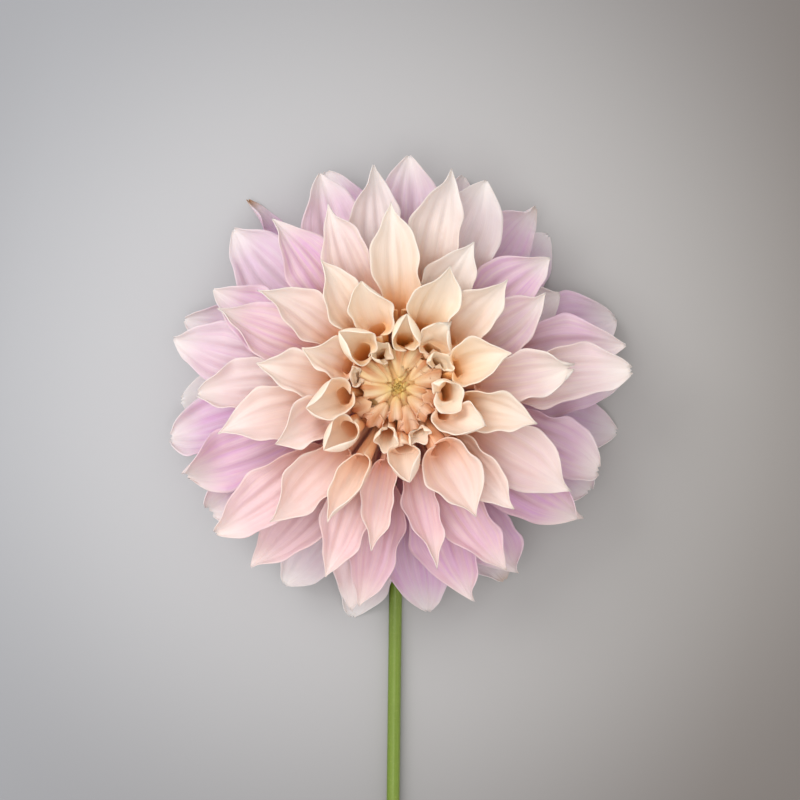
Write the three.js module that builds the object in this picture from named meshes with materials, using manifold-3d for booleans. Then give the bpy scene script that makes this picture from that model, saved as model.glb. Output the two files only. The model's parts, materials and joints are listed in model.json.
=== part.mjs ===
// A dinner plate dahlia, cut and laid down: the bloom faces straight up, its lowest petals and
// its stem lie on the surface, and the neck bends through a right angle under the head.
// Millimetres, +Z up. The shapes are worked out with the bloom's axis at x = y = 0 and the foot
// of its petals near z = 0; at the end the whole flower is set on z = 0 and centred.
import * as THREE from 'three';
import { mergeVertices } from 'three/addons/utils/BufferGeometryUtils.js';
import Module from 'manifold-3d';

const wasm = await Module();
wasm.setup();

// Driving dimensions.
const SURFACE = -33;              // the height of the surface that the flower lies on
const GOLDEN_ANGLE = 137.508;     // degrees from each petal to the next one outward
const FIRST_AZIMUTH = -243.5;     // where the innermost ray petal points, from +X
const RAY_PETALS = 80;
const HEART_FLORETS = 34;
const PETAL_THICKNESS = 0.7;
const BRACT_THICKNESS = 0.9;
const TIGHTEST_BEND = 0.9;        // the least radius that a margin curls to
const GAP = 0.3;                  // between neighbouring pieces
const SETTLE = 0.15;              // what is this close to the surface lies flat on it
const STEM_RADIUS = 3.5;
const STEM_SIDES = 10;
const STEM_LENGTH = 300;
const NECK_RADIUS = 19;
const NECK_TOP = -10;             // where the stem widens into the receptacle
const STEM_LEAN = 0.7;            // degrees that the stem runs off the bloom's -Y line

// Ray petals and heart florets change steadily from the middle of the bloom outward. Each row
// gives one petal, counted from the innermost ray petal, and those between are blended:
//   reach, rise    where its tip is, out from the axis and up
//   lift, dip      how steeply it leaves its root, and how it slopes at the tip, in degrees
//   half           half its width, measured round the curve of the blade
//   throat, blade  half the angle it curls through near its root and near its tip
//   shut, spread   the parts of its length where the throat ends and where the blade is open
//   widest         the part of its length where it is widest
//   start, end     how far its curve keeps to lift and to dip, as parts of its length
const COLUMNS = ['reach', 'rise', 'lift', 'dip', 'half', 'throat', 'blade', 'shut', 'spread',
  'widest', 'start', 'end'];
const WHORLS = [
  [-34, 0.4, 37.0, 88, 100, 2.2, 165, 155, 0.50, 0.95, 0.50, 0.60, 0.40],
  [-29, 1.0, 37.4, 85, 125, 3.4, 165, 155, 0.50, 0.95, 0.50, 0.60, 0.40],
  [-20, 2.4, 38.0, 80, 145, 6.0, 165, 155, 0.50, 0.95, 0.50, 0.60, 0.42],
  [-16, 3.2, 38.4, 74, 165, 8.6, 168, 160, 0.50, 0.95, 0.50, 0.85, 0.70],
  [-14, 3.8, 38.6, 66, 182, 11.4, 168, 162, 0.52, 0.95, 0.50, 1.12, 1.00],
  [-9, 4.8, 39.0, 58, 186, 14.4, 172, 165, 0.56, 0.95, 0.50, 1.26, 1.16],
  [-4, 8.0, 39.6, 57, 184, 14.2, 174, 165, 0.60, 0.95, 0.52, 1.20, 1.04],
  [-1, 12.0, 40.4, 58, 165, 13.2, 176, 162, 0.64, 0.97, 0.58, 0.98, 0.80],
  [0, 23.5, 43.0, 70, 68, 11.2, 180, 130, 0.80, 1.15, 0.72, 0.42, 0.40],
  [4, 27.0, 44.5, 70, 64, 12.0, 180, 125, 0.78, 1.12, 0.70, 0.42, 0.40],
  [5, 35.0, 47.5, 66, 42, 15.0, 184, 116, 0.66, 1.08, 0.72, 0.40, 0.30],
  [10, 42.0, 49.0, 66, 30, 15.2, 184, 104, 0.62, 1.00, 0.70, 0.43, 0.34],
  [14, 53.0, 49.0, 63, 18, 14.4, 182, 88, 0.52, 0.92, 0.62, 0.44, 0.38],
  [22, 73.0, 43.0, 54, 3, 14.2, 176, 68, 0.42, 0.80, 0.57, 0.44, 0.40],
  [33, 96.0, 30.0, 40, -12, 15.0, 160, 50, 0.36, 0.72, 0.55, 0.42, 0.40],
  [45, 112.0, 13.0, 25, -20, 16.2, 140, 44, 0.31, 0.66, 0.56, 0.42, 0.40],
  [60, 115.0, -8.0, 8, -25, 17.4, 116, 38, 0.28, 0.62, 0.60, 0.42, 0.40],
  [70, 115.0, -25.0, -7, -25, 17.8, 100, 34, 0.26, 0.60, 0.62, 0.42, 0.40],
  [79, 112.0, -42.0, -18, -14, 17.8, 92, 30, 0.24, 0.58, 0.62, 0.42, 0.40],
];

// Petals and florets that stand out from that rule: how much further they reach, and how many
// degrees anticlockwise of their place they point.
const ODD_PETALS = {
  '-11': [2, 0], '-10': [-2, 0], '-9': [1.5, 0], '-8': [-0.6, -8], '-7': [3, 0],
  '-6': [1.5, 0], '-5': [-2, 0], '-4': [1, -5], '-2': [3.5, 5], 1: [6.5, 0], 2: [1.5, 0],
  3: [-4, 0], 4: [2, -6], 6: [9, 0], 7: [-7, 0], 9: [5, 1], 10: [-5, -5], 12: [-3, 5],
  13: [4, 3], 14: [19, 5], 16: [-8, 0], 17: [12, 10], 19: [0, -5], 22: [7, 1], 23: [0, 8],
  24: [-9, -3], 26: [6, -2], 27: [6, -2], 29: [-6, -3], 31: [-13, 6], 32: [-5, -5],
  33: [0, -5], 36: [-16, 0], 37: [-7, -9], 38: [0, -5], 39: [8, -3], 40: [8, 3], 41: [7, 8],
  42: [-4, -6], 43: [-2, -7], 44: [-14, -4], 45: [-13, -4], 50: [-9, 0], 54: [-7, 0],
  55: [0, -9], 57: [-20, -6], 59: [-4, -8], 61: [-2, -9], 66: [3, -2], 67: [-4, 3],
  76: [11, 1], 77: [8, -3],
};
// Petals that are broader or narrower than the rule makes them.
const WIDTHS = {
  0: 0.95, 2: 1.05, 3: 0.85, 14: 0.85, 15: 1.12, 17: 1.25, 18: 1.12, 22: 0.85, 30: 0.8,
  33: 1.2, 48: 1.1, 52: 1.2,
};
// Petals that are folded more, or less, than the rule makes them: degrees of half the angle that
// their blade curls through.
const FOLDED = {
  14: 22, 17: -6, 21: 10, 22: 24, 24: 8, 26: 6, 27: 12, 29: 12, 30: 34, 31: -8, 33: -8, 34: 10,
  35: 12, 37: 10, 38: 8, 39: 6, 42: -6, 43: 16, 44: -6, 45: 12, 52: -8, 56: 14,
};
// Petals that end blunt: 0 is drawn out to a point, 1 is quite round.
const BLUNT = {
  0: 0.9, 1: 0.9, 2: 0.9, 3: 0.9, 4: 0.9, 7: 0.9, 28: 0.7, 40: 0.4, 41: 0.6, 45: 0.5, 46: 0.7,
  53: 0.8, 54: 0.7, 61: 0.8, 66: 0.6, 67: 0.6,
};
// Two petals have a nature of their own: one small mouth that opens late, and one old petal
// that is narrow and has twisted.
const OWN_NATURE = {
  7: { dip: 74, shut: 0.76, spread: 1.1 },
  76: { half: 8.5, twist: 70 },
};

// How much one petal may differ from the next: of its size, in mm and in degrees.
const VARY_REACH = 0.02;
const VARY_RISE = 1.2;
const VARY_WIDTH = 0.06;
const VARY_DIP = 6;
const VARY_AZIMUTH = 2;
const VARY_BEND = 0.06;
const VARY_TWIST = 12;
const ROLL = 6;                   // degrees that each blade tips towards its overlapped side
const FIRST_TWISTED = 13;
const SEED = 4.7;

const CLAW = 0.13;                // the width at the root, as a part of the full width
const SWELL = 1.1;                // how slowly the blade widens from its claw
const SHOULDER = 2.2;             // how long the blade keeps its width before it narrows
const POINT = 1.5;                // how sharply it comes to its tip
const BLUNT_SHOULDER = 6;         // the same two of a petal that ends round
const BLUNT_POINT = 0.5;
const BUD_SHOULDER = 4;           // and those of a closed floret
const BUD_POINT = 1;
const BUD_DEPTH = 0.58;           // how deep a floret is, as a part of a round one
const TIP_WIDTH = 0.05;           // half the width left at the very tip
const WIDEST_CURL = 165;          // half angle at which the margins still leave an open seam
const MOUTH_ROUNDING = 0.32;      // under 1, the throat opens in a round U and not in a slit
const CORE_SIDES = 12;
const ROUND_SIDES = 24;

const { clamp, degToRad, lerp, smoothstep } = THREE.MathUtils;

// The same small random number, from -1 to 1, each time for one petal and one purpose.
function chance(petal, purpose) {
  const mixed = Math.sin(petal * 12.9898 + purpose * 78.233 + SEED) * 43758.5453;
  return 2 * (mixed - Math.floor(mixed)) - 1;
}

function whorlAt(petal) {
  let row = 0;
  while (row < WHORLS.length - 2 && WHORLS[row + 1][0] < petal) row += 1;
  const inner = WHORLS[row];
  const outer = WHORLS[row + 1];
  const part = clamp((petal - inner[0]) / (outer[0] - inner[0]), 0, 1);
  const values = COLUMNS.map((name, i) => [name, lerp(inner[i + 1], outer[i + 1], part)]);
  return Object.fromEntries(values);
}

// Roots of the ray petals spiral down the side of the receptacle, those of the heart florets
// fill the dome on top of it.
const RAY_ROOTS = { inner: 12.6, outer: 20, top: 15, foot: 1.5 };
const HEART_ROOTS = { radius: 10.2, top: 26, foot: 18 };

function rootOf(petal) {
  if (petal < 0) {
    const share = (petal + HEART_FLORETS + 1) / (HEART_FLORETS + 1);
    const { radius, top, foot } = HEART_ROOTS;
    return new THREE.Vector2(radius * share, lerp(top, foot, share));
  }
  const { inner, outer, top, foot } = RAY_ROOTS;
  const radius = Math.sqrt(lerp(inner ** 2, outer ** 2, petal / (RAY_PETALS - 1)));
  return new THREE.Vector2(radius, lerp(top, foot, (radius - inner) / (outer - inner)));
}

// Everything that settles one petal: its rule's values, its own small differences and the
// curve of its midrib in the plane through the bloom's axis.
function petalShape(petal) {
  const shape = whorlAt(petal);
  const isRay = petal >= 0;
  const [longer, turned] = ODD_PETALS[petal] ?? [0, 0];
  const vary = isRay ? 1 : 0;
  shape.reach = (shape.reach + longer) * (1 + vary * VARY_REACH * chance(petal, 1));
  shape.rise += vary * VARY_RISE * chance(petal, 2);
  shape.half *= (1 + vary * VARY_WIDTH * chance(petal, 3)) * (WIDTHS[petal] ?? 1);
  shape.dip += vary * VARY_DIP * chance(petal, 4);
  shape.blade += FOLDED[petal] ?? 0;
  shape.twist = petal >= FIRST_TWISTED ? VARY_TWIST * chance(petal, 6) : 0;
  Object.assign(shape, OWN_NATURE[petal]);
  shape.twist = degToRad(shape.twist);
  shape.roll = degToRad(vary * ROLL);
  shape.blunt = BLUNT[petal] ?? 0;
  shape.shoulder = isRay ? SHOULDER : BUD_SHOULDER;
  shape.point = isRay ? POINT : BUD_POINT;
  shape.depth = isRay ? 1 : BUD_DEPTH;
  const azimuth = FIRST_AZIMUTH + GOLDEN_ANGLE * petal + turned + VARY_AZIMUTH * chance(petal, 7);
  shape.azimuth = degToRad(azimuth);
  const root = rootOf(petal);
  const tip = new THREE.Vector2(shape.reach, shape.rise);
  const chord = tip.distanceTo(root);
  shape.bend = VARY_BEND * chance(petal, 5) * chord;
  const leave = new THREE.Vector2(1, 0).rotateAround(new THREE.Vector2(), degToRad(shape.lift));
  const arrive = new THREE.Vector2(1, 0).rotateAround(new THREE.Vector2(), degToRad(shape.dip));
  shape.midrib = new THREE.CubicBezierCurve(
    root,
    root.clone().addScaledVector(leave, shape.start * chord),
    tip.clone().addScaledVector(arrive, -shape.end * chord),
    tip,
  );
  return shape;
}

// Half the width round the curve of the blade, and half the angle it curls through, at the
// part u of its length.
function halfWidth(shape, u) {
  const grow = lerp(CLAW, 1, smoothstep(u, -0.05, shape.widest) ** SWELL);
  const taper = clamp((u - shape.widest) / (1 - shape.widest), 0, 1);
  const pointed = (1 - taper ** shape.shoulder) ** shape.point;
  const round = (1 - taper ** BLUNT_SHOULDER) ** BLUNT_POINT;
  return shape.half * grow * lerp(pointed, round, shape.blunt) + TIP_WIDTH;
}

function halfCurl(shape, u) {
  const opened = clamp((u - shape.shut) / (shape.spread - shape.shut), 0, 1);
  const angle = lerp(shape.throat, shape.blade, opened ** MOUTH_ROUNDING);
  const curl = degToRad(Math.min(angle, WIDEST_CURL));
  return Math.min(curl, halfWidth(shape, u) / TIGHTEST_BEND);
}

// A lying stem lifts the petals that cross it, and the surface stops all others.
const LIFT = { over: 2 * STEM_RADIUS + 1.2, width: 14 };
function lowestAt(x, y) {
  const overStem = y < 0 ? LIFT.over : 0;
  const lean = x - y * Math.tan(degToRad(STEM_LEAN));
  return SURFACE + overStem * Math.exp(-((lean / LIFT.width) ** 4));
}

// A point in the middle of the blade's thickness: u runs from root to tip, v from margin to
// margin.
function petalPoint(shape, u, v) {
  const centre = shape.midrib.getPoint(u);
  const along = shape.midrib.getTangent(u);
  const curl = halfCurl(shape, u);
  const radius = halfWidth(shape, u) / curl;
  const depth = radius * shape.depth * (1 - Math.cos(v * curl));
  const flat = new THREE.Vector2(radius * Math.sin(v * curl), depth);
  const tilt = shape.twist * u * u + shape.roll * smoothstep(u, 0, 0.5);
  flat.rotateAround(new THREE.Vector2(), tilt);
  const aside = flat.x + shape.bend * u * u;
  const out = centre.x - flat.y * along.y;
  const up = centre.y + flat.y * along.x;
  const x = out * Math.cos(shape.azimuth) - aside * Math.sin(shape.azimuth);
  const y = out * Math.sin(shape.azimuth) + aside * Math.cos(shape.azimuth);
  return new THREE.Vector3(x, y, Math.max(up, lowestAt(x, y) + PETAL_THICKNESS / 2));
}

// A thin closed blade: the same triangles above and below, a rim round the sides and the root,
// and both faces ending in one point at the tip.
function bladeSolid(pointAt, rows, columns, thickness) {
  const near = 0.012;
  const normalAt = (u, v) => {
    const before = Math.min(u, 1 - 2 * near);
    const here = pointAt(before, v);
    const along = pointAt(before + near, v).sub(here);
    const inward = v > 0 ? -1 : 1;
    const across = pointAt(before, v + inward * 4 * near).sub(here).multiplyScalar(inward);
    return along.cross(across).normalize();
  };
  const positions = [];
  const put = (u, v) => {
    const middle = pointAt(u, v);
    const normal = normalAt(u, v);
    for (const face of [-0.5, 0.5]) {
      const corner = middle.clone().addScaledVector(normal, face * thickness);
      positions.push(corner.x, corner.y, corner.z < SURFACE + SETTLE ? SURFACE : corner.z);
    }
  };
  for (const u of rows) for (const v of columns) put(u, v);
  put(1, 0);
  const count = columns.length;
  const low = (i, j) => 2 * (i * count + j);
  const tip = 2 * rows.length * count;
  const faces = [];
  // A three-cornered patch above, and its twin below facing the other way.
  const patch = (a, b, c) => faces.push(a + 1, b + 1, c + 1, a, c, b);
  // One piece of the rim, from the corner a to the corner b.
  const rim = (a, b) => faces.push(a, b, b + 1, a, b + 1, a + 1);
  for (let i = 0; i < rows.length; i += 1) {
    for (let j = 0; j < count - 1; j += 1) {
      if (i === rows.length - 1) {
        patch(low(i, j), tip, low(i, j + 1));
      } else {
        patch(low(i, j), low(i + 1, j), low(i + 1, j + 1));
        patch(low(i, j), low(i + 1, j + 1), low(i, j + 1));
      }
    }
    const next = i === rows.length - 1 ? [tip, tip] : [low(i + 1, 0), low(i + 1, count - 1)];
    rim(low(i, 0), next[0]);
    rim(next[1], low(i, count - 1));
  }
  for (let j = 0; j < count - 1; j += 1) rim(low(0, j + 1), low(0, j));
  return solidFrom(positions, faces);
}

// A plump closed bud: rings of the curled blade, each closed straight across its open side.
function budSolid(shape, rows, columns) {
  const positions = [];
  for (const u of rows) {
    for (const v of columns) positions.push(...petalPoint(shape, u, v).toArray());
  }
  positions.push(...petalPoint(shape, 1, 0).toArray());
  const count = columns.length;
  const tip = rows.length * count;
  const faces = [];
  for (let i = 0; i < rows.length; i += 1) {
    for (let j = 0; j < count; j += 1) {
      const here = i * count + j;
      const beside = i * count + ((j + 1) % count);
      if (i === rows.length - 1) {
        faces.push(here, beside, tip);
      } else {
        faces.push(here, beside + count, here + count, here, beside, beside + count);
      }
    }
  }
  for (let j = 1; j < count - 1; j += 1) faces.push(0, j + 1, j);
  return solidFrom(positions, faces);
}

function solidFrom(positions, faces) {
  const solid = new wasm.Manifold(new wasm.Mesh({
    numProp: 3,
    vertProperties: new Float32Array(positions),
    triVerts: new Uint32Array(faces),
  }));
  if (solid.volume() < 0) throw new Error('A solid is inside out.');
  return solid;
}

function solidOf(geometry) {
  geometry.deleteAttribute('normal');
  geometry.deleteAttribute('uv');
  const merged = mergeVertices(geometry, 1e-4);
  return solidFrom(merged.attributes.position.array, merged.index.array);
}

// A solid turned round the bloom's axis, from a profile of [radius, height] that starts and
// ends on the axis, from the foot up.
function turnedSolid(profile, sides) {
  const points = profile.map(([radius, height]) => new THREE.Vector2(radius, height));
  return solidOf(new THREE.LatheGeometry(points, sides).rotateX(Math.PI / 2));
}

const fuse = (solids) => solids.reduce((whole, solid) => whole.add(solid));

// The largest body alone: scraps that a cut set loose are dropped, and sealed pockets filled.
function oneBody(solid) {
  return solid.decompose().reduce((best, body) => (body.volume() > best.volume() ? body : best));
}

const group = new THREE.Group();
function addPiece(name, solid, colour, roughness) {
  const mesh = solid.getMesh();
  const geometry = new THREE.BufferGeometry();
  geometry.setAttribute('position', new THREE.BufferAttribute(mesh.vertProperties, 3));
  geometry.setIndex(new THREE.BufferAttribute(mesh.triVerts, 1));
  geometry.computeVertexNormals();
  const material = new THREE.MeshStandardMaterial({ color: colour, roughness, metalness: 0 });
  const piece = new THREE.Mesh(geometry, material);
  piece.name = name;
  group.add(piece);
}

// The room that the heart fills, a bowl standing on the receptacle between the innermost ray
// petals.
const HEART_FOOT = 15.5;
const HEART_BOWL = [
  [11.2, HEART_FOOT], [13.8, 20], [16.8, 26], [19, 32], [20.2, 38], [20.2, 60],
];
function heartRoom(clear) {
  const wall = HEART_BOWL.map(([radius, height]) => [radius + clear, height]);
  wall[0][1] -= clear;
  return turnedSolid([[0, wall[0][1]], ...wall, [0, wall.at(-1)[1]]], ROUND_SIDES);
}

// Ray petals: the curled ones round the heart, then open blades in row over row, all growing
// from the side of the receptacle.
const CURLED = {
  until: 30, rows: [0, 0.35, 0.58, 0.8], columns: [-1, -0.6, -0.2, 0.2, 0.6, 1],
};
const OPEN = { rows: [0, 0.28, 0.56, 0.82], columns: [-1, -0.5, 0, 0.5, 1] };
const RECEPTACLE = [[0, 0.5], [17, 0.5], [29, 5], [31, 15], [23, 30], [0, 30]];
function rayPetals() {
  const petals = [];
  for (let petal = 0; petal < RAY_PETALS; petal += 1) {
    const shape = petalShape(petal);
    const { rows, columns } = petal < CURLED.until ? CURLED : OPEN;
    petals.push(bladeSolid((u, v) => petalPoint(shape, u, v), rows, columns, PETAL_THICKNESS));
  }
  const bloom = fuse([turnedSolid(RECEPTACLE, CORE_SIDES), ...petals]);
  return oneBody(bloom.subtract(heartRoom(GAP)));
}

// Heart florets: closed buds that lie over a dome and bend towards its middle, the small ones
// standing up in a star.
const BUD = { rows: [0.3, 0.5, 0.68, 0.84, 0.94], columns: [-1, -0.55, 0, 0.55, 1] };
const HEART_DOME = [
  [0, HEART_FOOT], [11, HEART_FOOT], [13.4, 20], [16.2, 26], [17.4, 32], [16.2, 35.5], [11, 37],
  [5, 36.5], [0, 36],
];
function heartFlorets() {
  const florets = [];
  for (let floret = -HEART_FLORETS; floret < 0; floret += 1) {
    florets.push(budSolid(petalShape(floret), BUD.rows, BUD.columns));
  }
  const heart = fuse([turnedSolid(HEART_DOME, CORE_SIDES), ...florets]);
  return oneBody(heart.intersect(heartRoom(0)));
}

// The green cup under the petals, with a ring of thin inner bracts against the petals' backs
// and a ring of narrow outer bracts that bend away.
const CUP_FOOT = NECK_TOP + GAP;
const CUP_RIM = RECEPTACLE[0][1] - GAP;
const CUP = [
  [0, CUP_FOOT], [3.6, CUP_FOOT], [6.5, -8], [11, -5], [15.5, -2], [17.5, CUP_RIM], [0, CUP_RIM],
];
const INNER_BRACTS = {
  count: 8, first: 0.3, root: 12, reach: 31, from: -3.6, to: -7.5, half: 6.5, sag: 1,
};
const OUTER_BRACTS = {
  count: 6, first: 0.8, root: 5.5, reach: 27, from: -8, to: -15, half: 4.2, sag: 2,
};
const BRACT_CUP = 0.04;           // how far the margins rise, times the square of their distance
const BRACT_CLAW = 0.16;          // where on its half wave the width starts at the root
function bract(ring, index) {
  const azimuth = 2 * Math.PI * index / ring.count + ring.first;
  const wide = (u) => Math.sin(Math.PI * lerp(BRACT_CLAW, 1, u) ** 0.9) ** 0.8;
  return bladeSolid((u, v) => {
    const out = lerp(ring.root, ring.reach, u);
    const aside = v * ring.half * (u < 1 ? wide(u) : 0);
    const up = lerp(ring.from, ring.to, u) - ring.sag * Math.sin(Math.PI * u);
    return new THREE.Vector3(
      out * Math.cos(azimuth) - aside * Math.sin(azimuth),
      out * Math.sin(azimuth) + aside * Math.cos(azimuth),
      up + BRACT_CUP * aside ** 2,
    );
  }, [0, 0.25, 0.5, 0.75], [-1, 0, 1], BRACT_THICKNESS);
}
function calyx() {
  const bracts = [INNER_BRACTS, OUTER_BRACTS].flatMap((ring) => (
    Array.from({ length: ring.count }, (_, index) => bract(ring, index))
  ));
  return oneBody(fuse([turnedSolid(CUP, ROUND_SIDES), ...bracts]));
}

// The stem lies along -Y with one of its flats on the surface, and its neck turns up into the
// cup. Its far end is cut at a slant.
const STEM_STEPS = 44;
const ROUND_TURN = 0.5523;        // makes a quarter turn of one cubic curve
const SLANT = { angle: 30, block: 40, back: 8 };
function stem() {
  const axisHeight = SURFACE + STEM_RADIUS * Math.cos(Math.PI / STEM_SIDES);
  const bendEnd = axisHeight + NECK_RADIUS;
  const lean = Math.tan(degToRad(STEM_LEAN));
  const route = new THREE.CurvePath();
  const far = new THREE.Vector3(-STEM_LENGTH * lean, -STEM_LENGTH, axisHeight);
  const corner = new THREE.Vector3(-NECK_RADIUS * lean, -NECK_RADIUS, axisHeight);
  const top = new THREE.Vector3(0, 0, NECK_TOP);
  route.add(new THREE.LineCurve3(far, corner));
  route.add(new THREE.CubicBezierCurve3(
    corner,
    corner.clone().lerp(new THREE.Vector3(0, 0, axisHeight), ROUND_TURN),
    new THREE.Vector3(0, 0, lerp(bendEnd, axisHeight, ROUND_TURN)),
    new THREE.Vector3(0, 0, bendEnd),
  ));
  route.add(new THREE.LineCurve3(new THREE.Vector3(0, 0, bendEnd), top));
  const firstCorner = Math.PI / STEM_SIDES;
  const section = new THREE.Shape();
  section.absarc(0, 0, STEM_RADIUS, firstCorner, firstCorner + 2 * Math.PI, false);
  const tube = solidOf(new THREE.ExtrudeGeometry(section, {
    extrudePath: route, steps: STEM_STEPS, curveSegments: STEM_SIDES / 2, bevelEnabled: false,
  }));
  const slant = new THREE.BoxGeometry(SLANT.block, SLANT.block / 2, SLANT.block);
  slant.rotateX(degToRad(SLANT.angle)).translate(far.x, far.y - SLANT.back, far.z);
  return oneBody(tube.subtract(solidOf(slant)));
}

addPiece('ray_petals', rayPetals(), 0xefd5d2, 0.6);
addPiece('heart_florets', heartFlorets(), 0xebc999, 0.6);
addPiece('calyx', calyx(), 0x7f9647, 0.65);
addPiece('stem', stem(), 0x889c43, 0.5);

// Set the flower on z = 0, with the middle of its length and width at x = y = 0.
const box = new THREE.Box3().setFromObject(group);
const middle = box.getCenter(new THREE.Vector3());
group.position.set(-middle.x, -middle.y, -SURFACE);
group.updateMatrixWorld(true);

export default group;
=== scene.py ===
# %% [markdown]
# # A dinner plate dahlia, laid on its back
# The flower is one large bloom on a bare green stem. It lies on a table and faces straight up,
# so a camera that looks straight down sees it as one sees a dahlia held up to the eye. Eighty
# ray petals and thirty-four closed florets all follow one rule: each grows 137.5 degrees round
# from the last. The solid model of the flower holds the same rule with coarse petals. Here every
# petal gets its fine surface, its ridges and veins, and its colour.

# %% The frame
import json
import math

import bpy
import numpy as np
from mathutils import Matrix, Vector
from mathutils.bvhtree import BVHTree

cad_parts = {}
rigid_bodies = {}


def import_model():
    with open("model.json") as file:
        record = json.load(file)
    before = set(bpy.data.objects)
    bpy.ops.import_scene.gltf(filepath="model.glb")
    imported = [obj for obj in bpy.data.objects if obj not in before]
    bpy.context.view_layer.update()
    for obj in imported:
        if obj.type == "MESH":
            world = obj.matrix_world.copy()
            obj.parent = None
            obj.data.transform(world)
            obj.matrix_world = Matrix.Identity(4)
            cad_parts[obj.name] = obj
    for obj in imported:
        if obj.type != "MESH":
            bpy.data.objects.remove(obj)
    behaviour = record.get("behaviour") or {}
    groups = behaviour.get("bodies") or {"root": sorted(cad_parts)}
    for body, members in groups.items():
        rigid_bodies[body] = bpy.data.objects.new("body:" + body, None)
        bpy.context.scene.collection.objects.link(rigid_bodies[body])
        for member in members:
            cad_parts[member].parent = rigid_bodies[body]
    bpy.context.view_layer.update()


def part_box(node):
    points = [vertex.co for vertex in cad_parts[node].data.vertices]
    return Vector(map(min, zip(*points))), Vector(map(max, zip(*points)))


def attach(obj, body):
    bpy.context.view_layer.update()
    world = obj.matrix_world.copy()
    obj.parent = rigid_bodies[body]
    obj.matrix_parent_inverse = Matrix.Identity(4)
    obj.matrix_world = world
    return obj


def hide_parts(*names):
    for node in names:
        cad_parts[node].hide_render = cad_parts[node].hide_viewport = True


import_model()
scene = bpy.context.scene
MM = 0.001

# %% [markdown]
# ## Where the bloom stands
# The neck of the stem comes up under the middle of the bloom. Its solid is a tube with ten flat
# sides, widest across its corners along X and across its flats along Y, so the top of its box
# gives the bloom's axis. Where the stem lies on the table it leans a little to one side.

# %% Where the bloom stands
STEM_RADIUS = 3.5 * MM
STEM_SIDES = 10
STEM_LEAN = math.tan(math.radians(0.7))
SURFACE_BELOW = 33 * MM           # from the foot of the petals down to the table
AXIS_HEIGHT = STEM_RADIUS * math.cos(math.pi / STEM_SIDES)
stem_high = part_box("stem")[1]
AXIS_X = stem_high.x - STEM_RADIUS
AXIS_Y = stem_high.y - AXIS_HEIGHT
print(f"bloom axis at x {AXIS_X / MM:.2f} mm, y {AXIS_Y / MM:.2f} mm")

# %% [markdown]
# ## The rule of the petals
# A dahlia's petals change steadily from the middle outward: closed buds, then small rolled
# trumpets, then cups, then broad open blades, then old petals that droop to the table. So a
# short list of typical petals is enough, and those between are blended from their neighbours.
# Lengths are in millimetres, angles in degrees:
# reach and rise say where the tip is; lift and dip how steeply the midrib leaves its root and
# arrives at the tip; half is half the width round the blade's curve; throat and blade are half
# the angle that it curls through; shut and spread say where along it the throat ends and the
# blade is open; widest says where it is widest; start and end how far the midrib holds its slope.

# %% The rule of the petals
GOLDEN_ANGLE = 137.508
FIRST_AZIMUTH = -243.5
RAY_PETALS = 80
HEART_FLORETS = 34
COLUMNS = ["reach", "rise", "lift", "dip", "half", "throat", "blade", "shut", "spread",
           "widest", "start", "end"]
WHORLS = np.array([
    [-34, 0.4, 37.0, 88, 100, 2.2, 165, 155, 0.50, 0.95, 0.50, 0.60, 0.40],
    [-29, 1.0, 37.4, 85, 125, 3.4, 165, 155, 0.50, 0.95, 0.50, 0.60, 0.40],
    [-20, 2.4, 38.0, 80, 145, 6.0, 165, 155, 0.50, 0.95, 0.50, 0.60, 0.42],
    [-16, 3.2, 38.4, 74, 165, 8.6, 168, 160, 0.50, 0.95, 0.50, 0.85, 0.70],
    [-14, 3.8, 38.6, 66, 182, 11.4, 168, 162, 0.52, 0.95, 0.50, 1.12, 1.00],
    [-9, 4.8, 39.0, 58, 186, 14.4, 172, 165, 0.56, 0.95, 0.50, 1.26, 1.16],
    [-4, 8.0, 39.6, 57, 184, 14.2, 174, 165, 0.60, 0.95, 0.52, 1.20, 1.04],
    [-1, 12.0, 40.4, 58, 165, 13.2, 176, 162, 0.64, 0.97, 0.58, 0.98, 0.80],
    [0, 23.5, 43.0, 70, 68, 11.2, 180, 130, 0.80, 1.15, 0.72, 0.42, 0.40],
    [4, 27.0, 44.5, 70, 64, 12.0, 180, 125, 0.78, 1.12, 0.70, 0.42, 0.40],
    [5, 35.0, 47.5, 66, 42, 15.0, 184, 116, 0.66, 1.08, 0.72, 0.40, 0.30],
    [10, 42.0, 49.0, 66, 30, 15.2, 184, 104, 0.62, 1.00, 0.70, 0.43, 0.34],
    [14, 53.0, 49.0, 63, 18, 14.4, 182, 88, 0.52, 0.92, 0.62, 0.44, 0.38],
    [22, 73.0, 43.0, 54, 3, 14.2, 176, 68, 0.42, 0.80, 0.57, 0.44, 0.40],
    [33, 96.0, 30.0, 40, -12, 15.0, 160, 50, 0.36, 0.72, 0.55, 0.42, 0.40],
    [45, 112.0, 13.0, 25, -20, 16.2, 140, 44, 0.31, 0.66, 0.56, 0.42, 0.40],
    [60, 115.0, -8.0, 8, -25, 17.4, 116, 38, 0.28, 0.62, 0.60, 0.42, 0.40],
    [70, 115.0, -25.0, -7, -25, 17.8, 100, 34, 0.26, 0.60, 0.62, 0.42, 0.40],
    [79, 112.0, -42.0, -18, -14, 17.8, 92, 30, 0.24, 0.58, 0.62, 0.42, 0.40],
])
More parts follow.
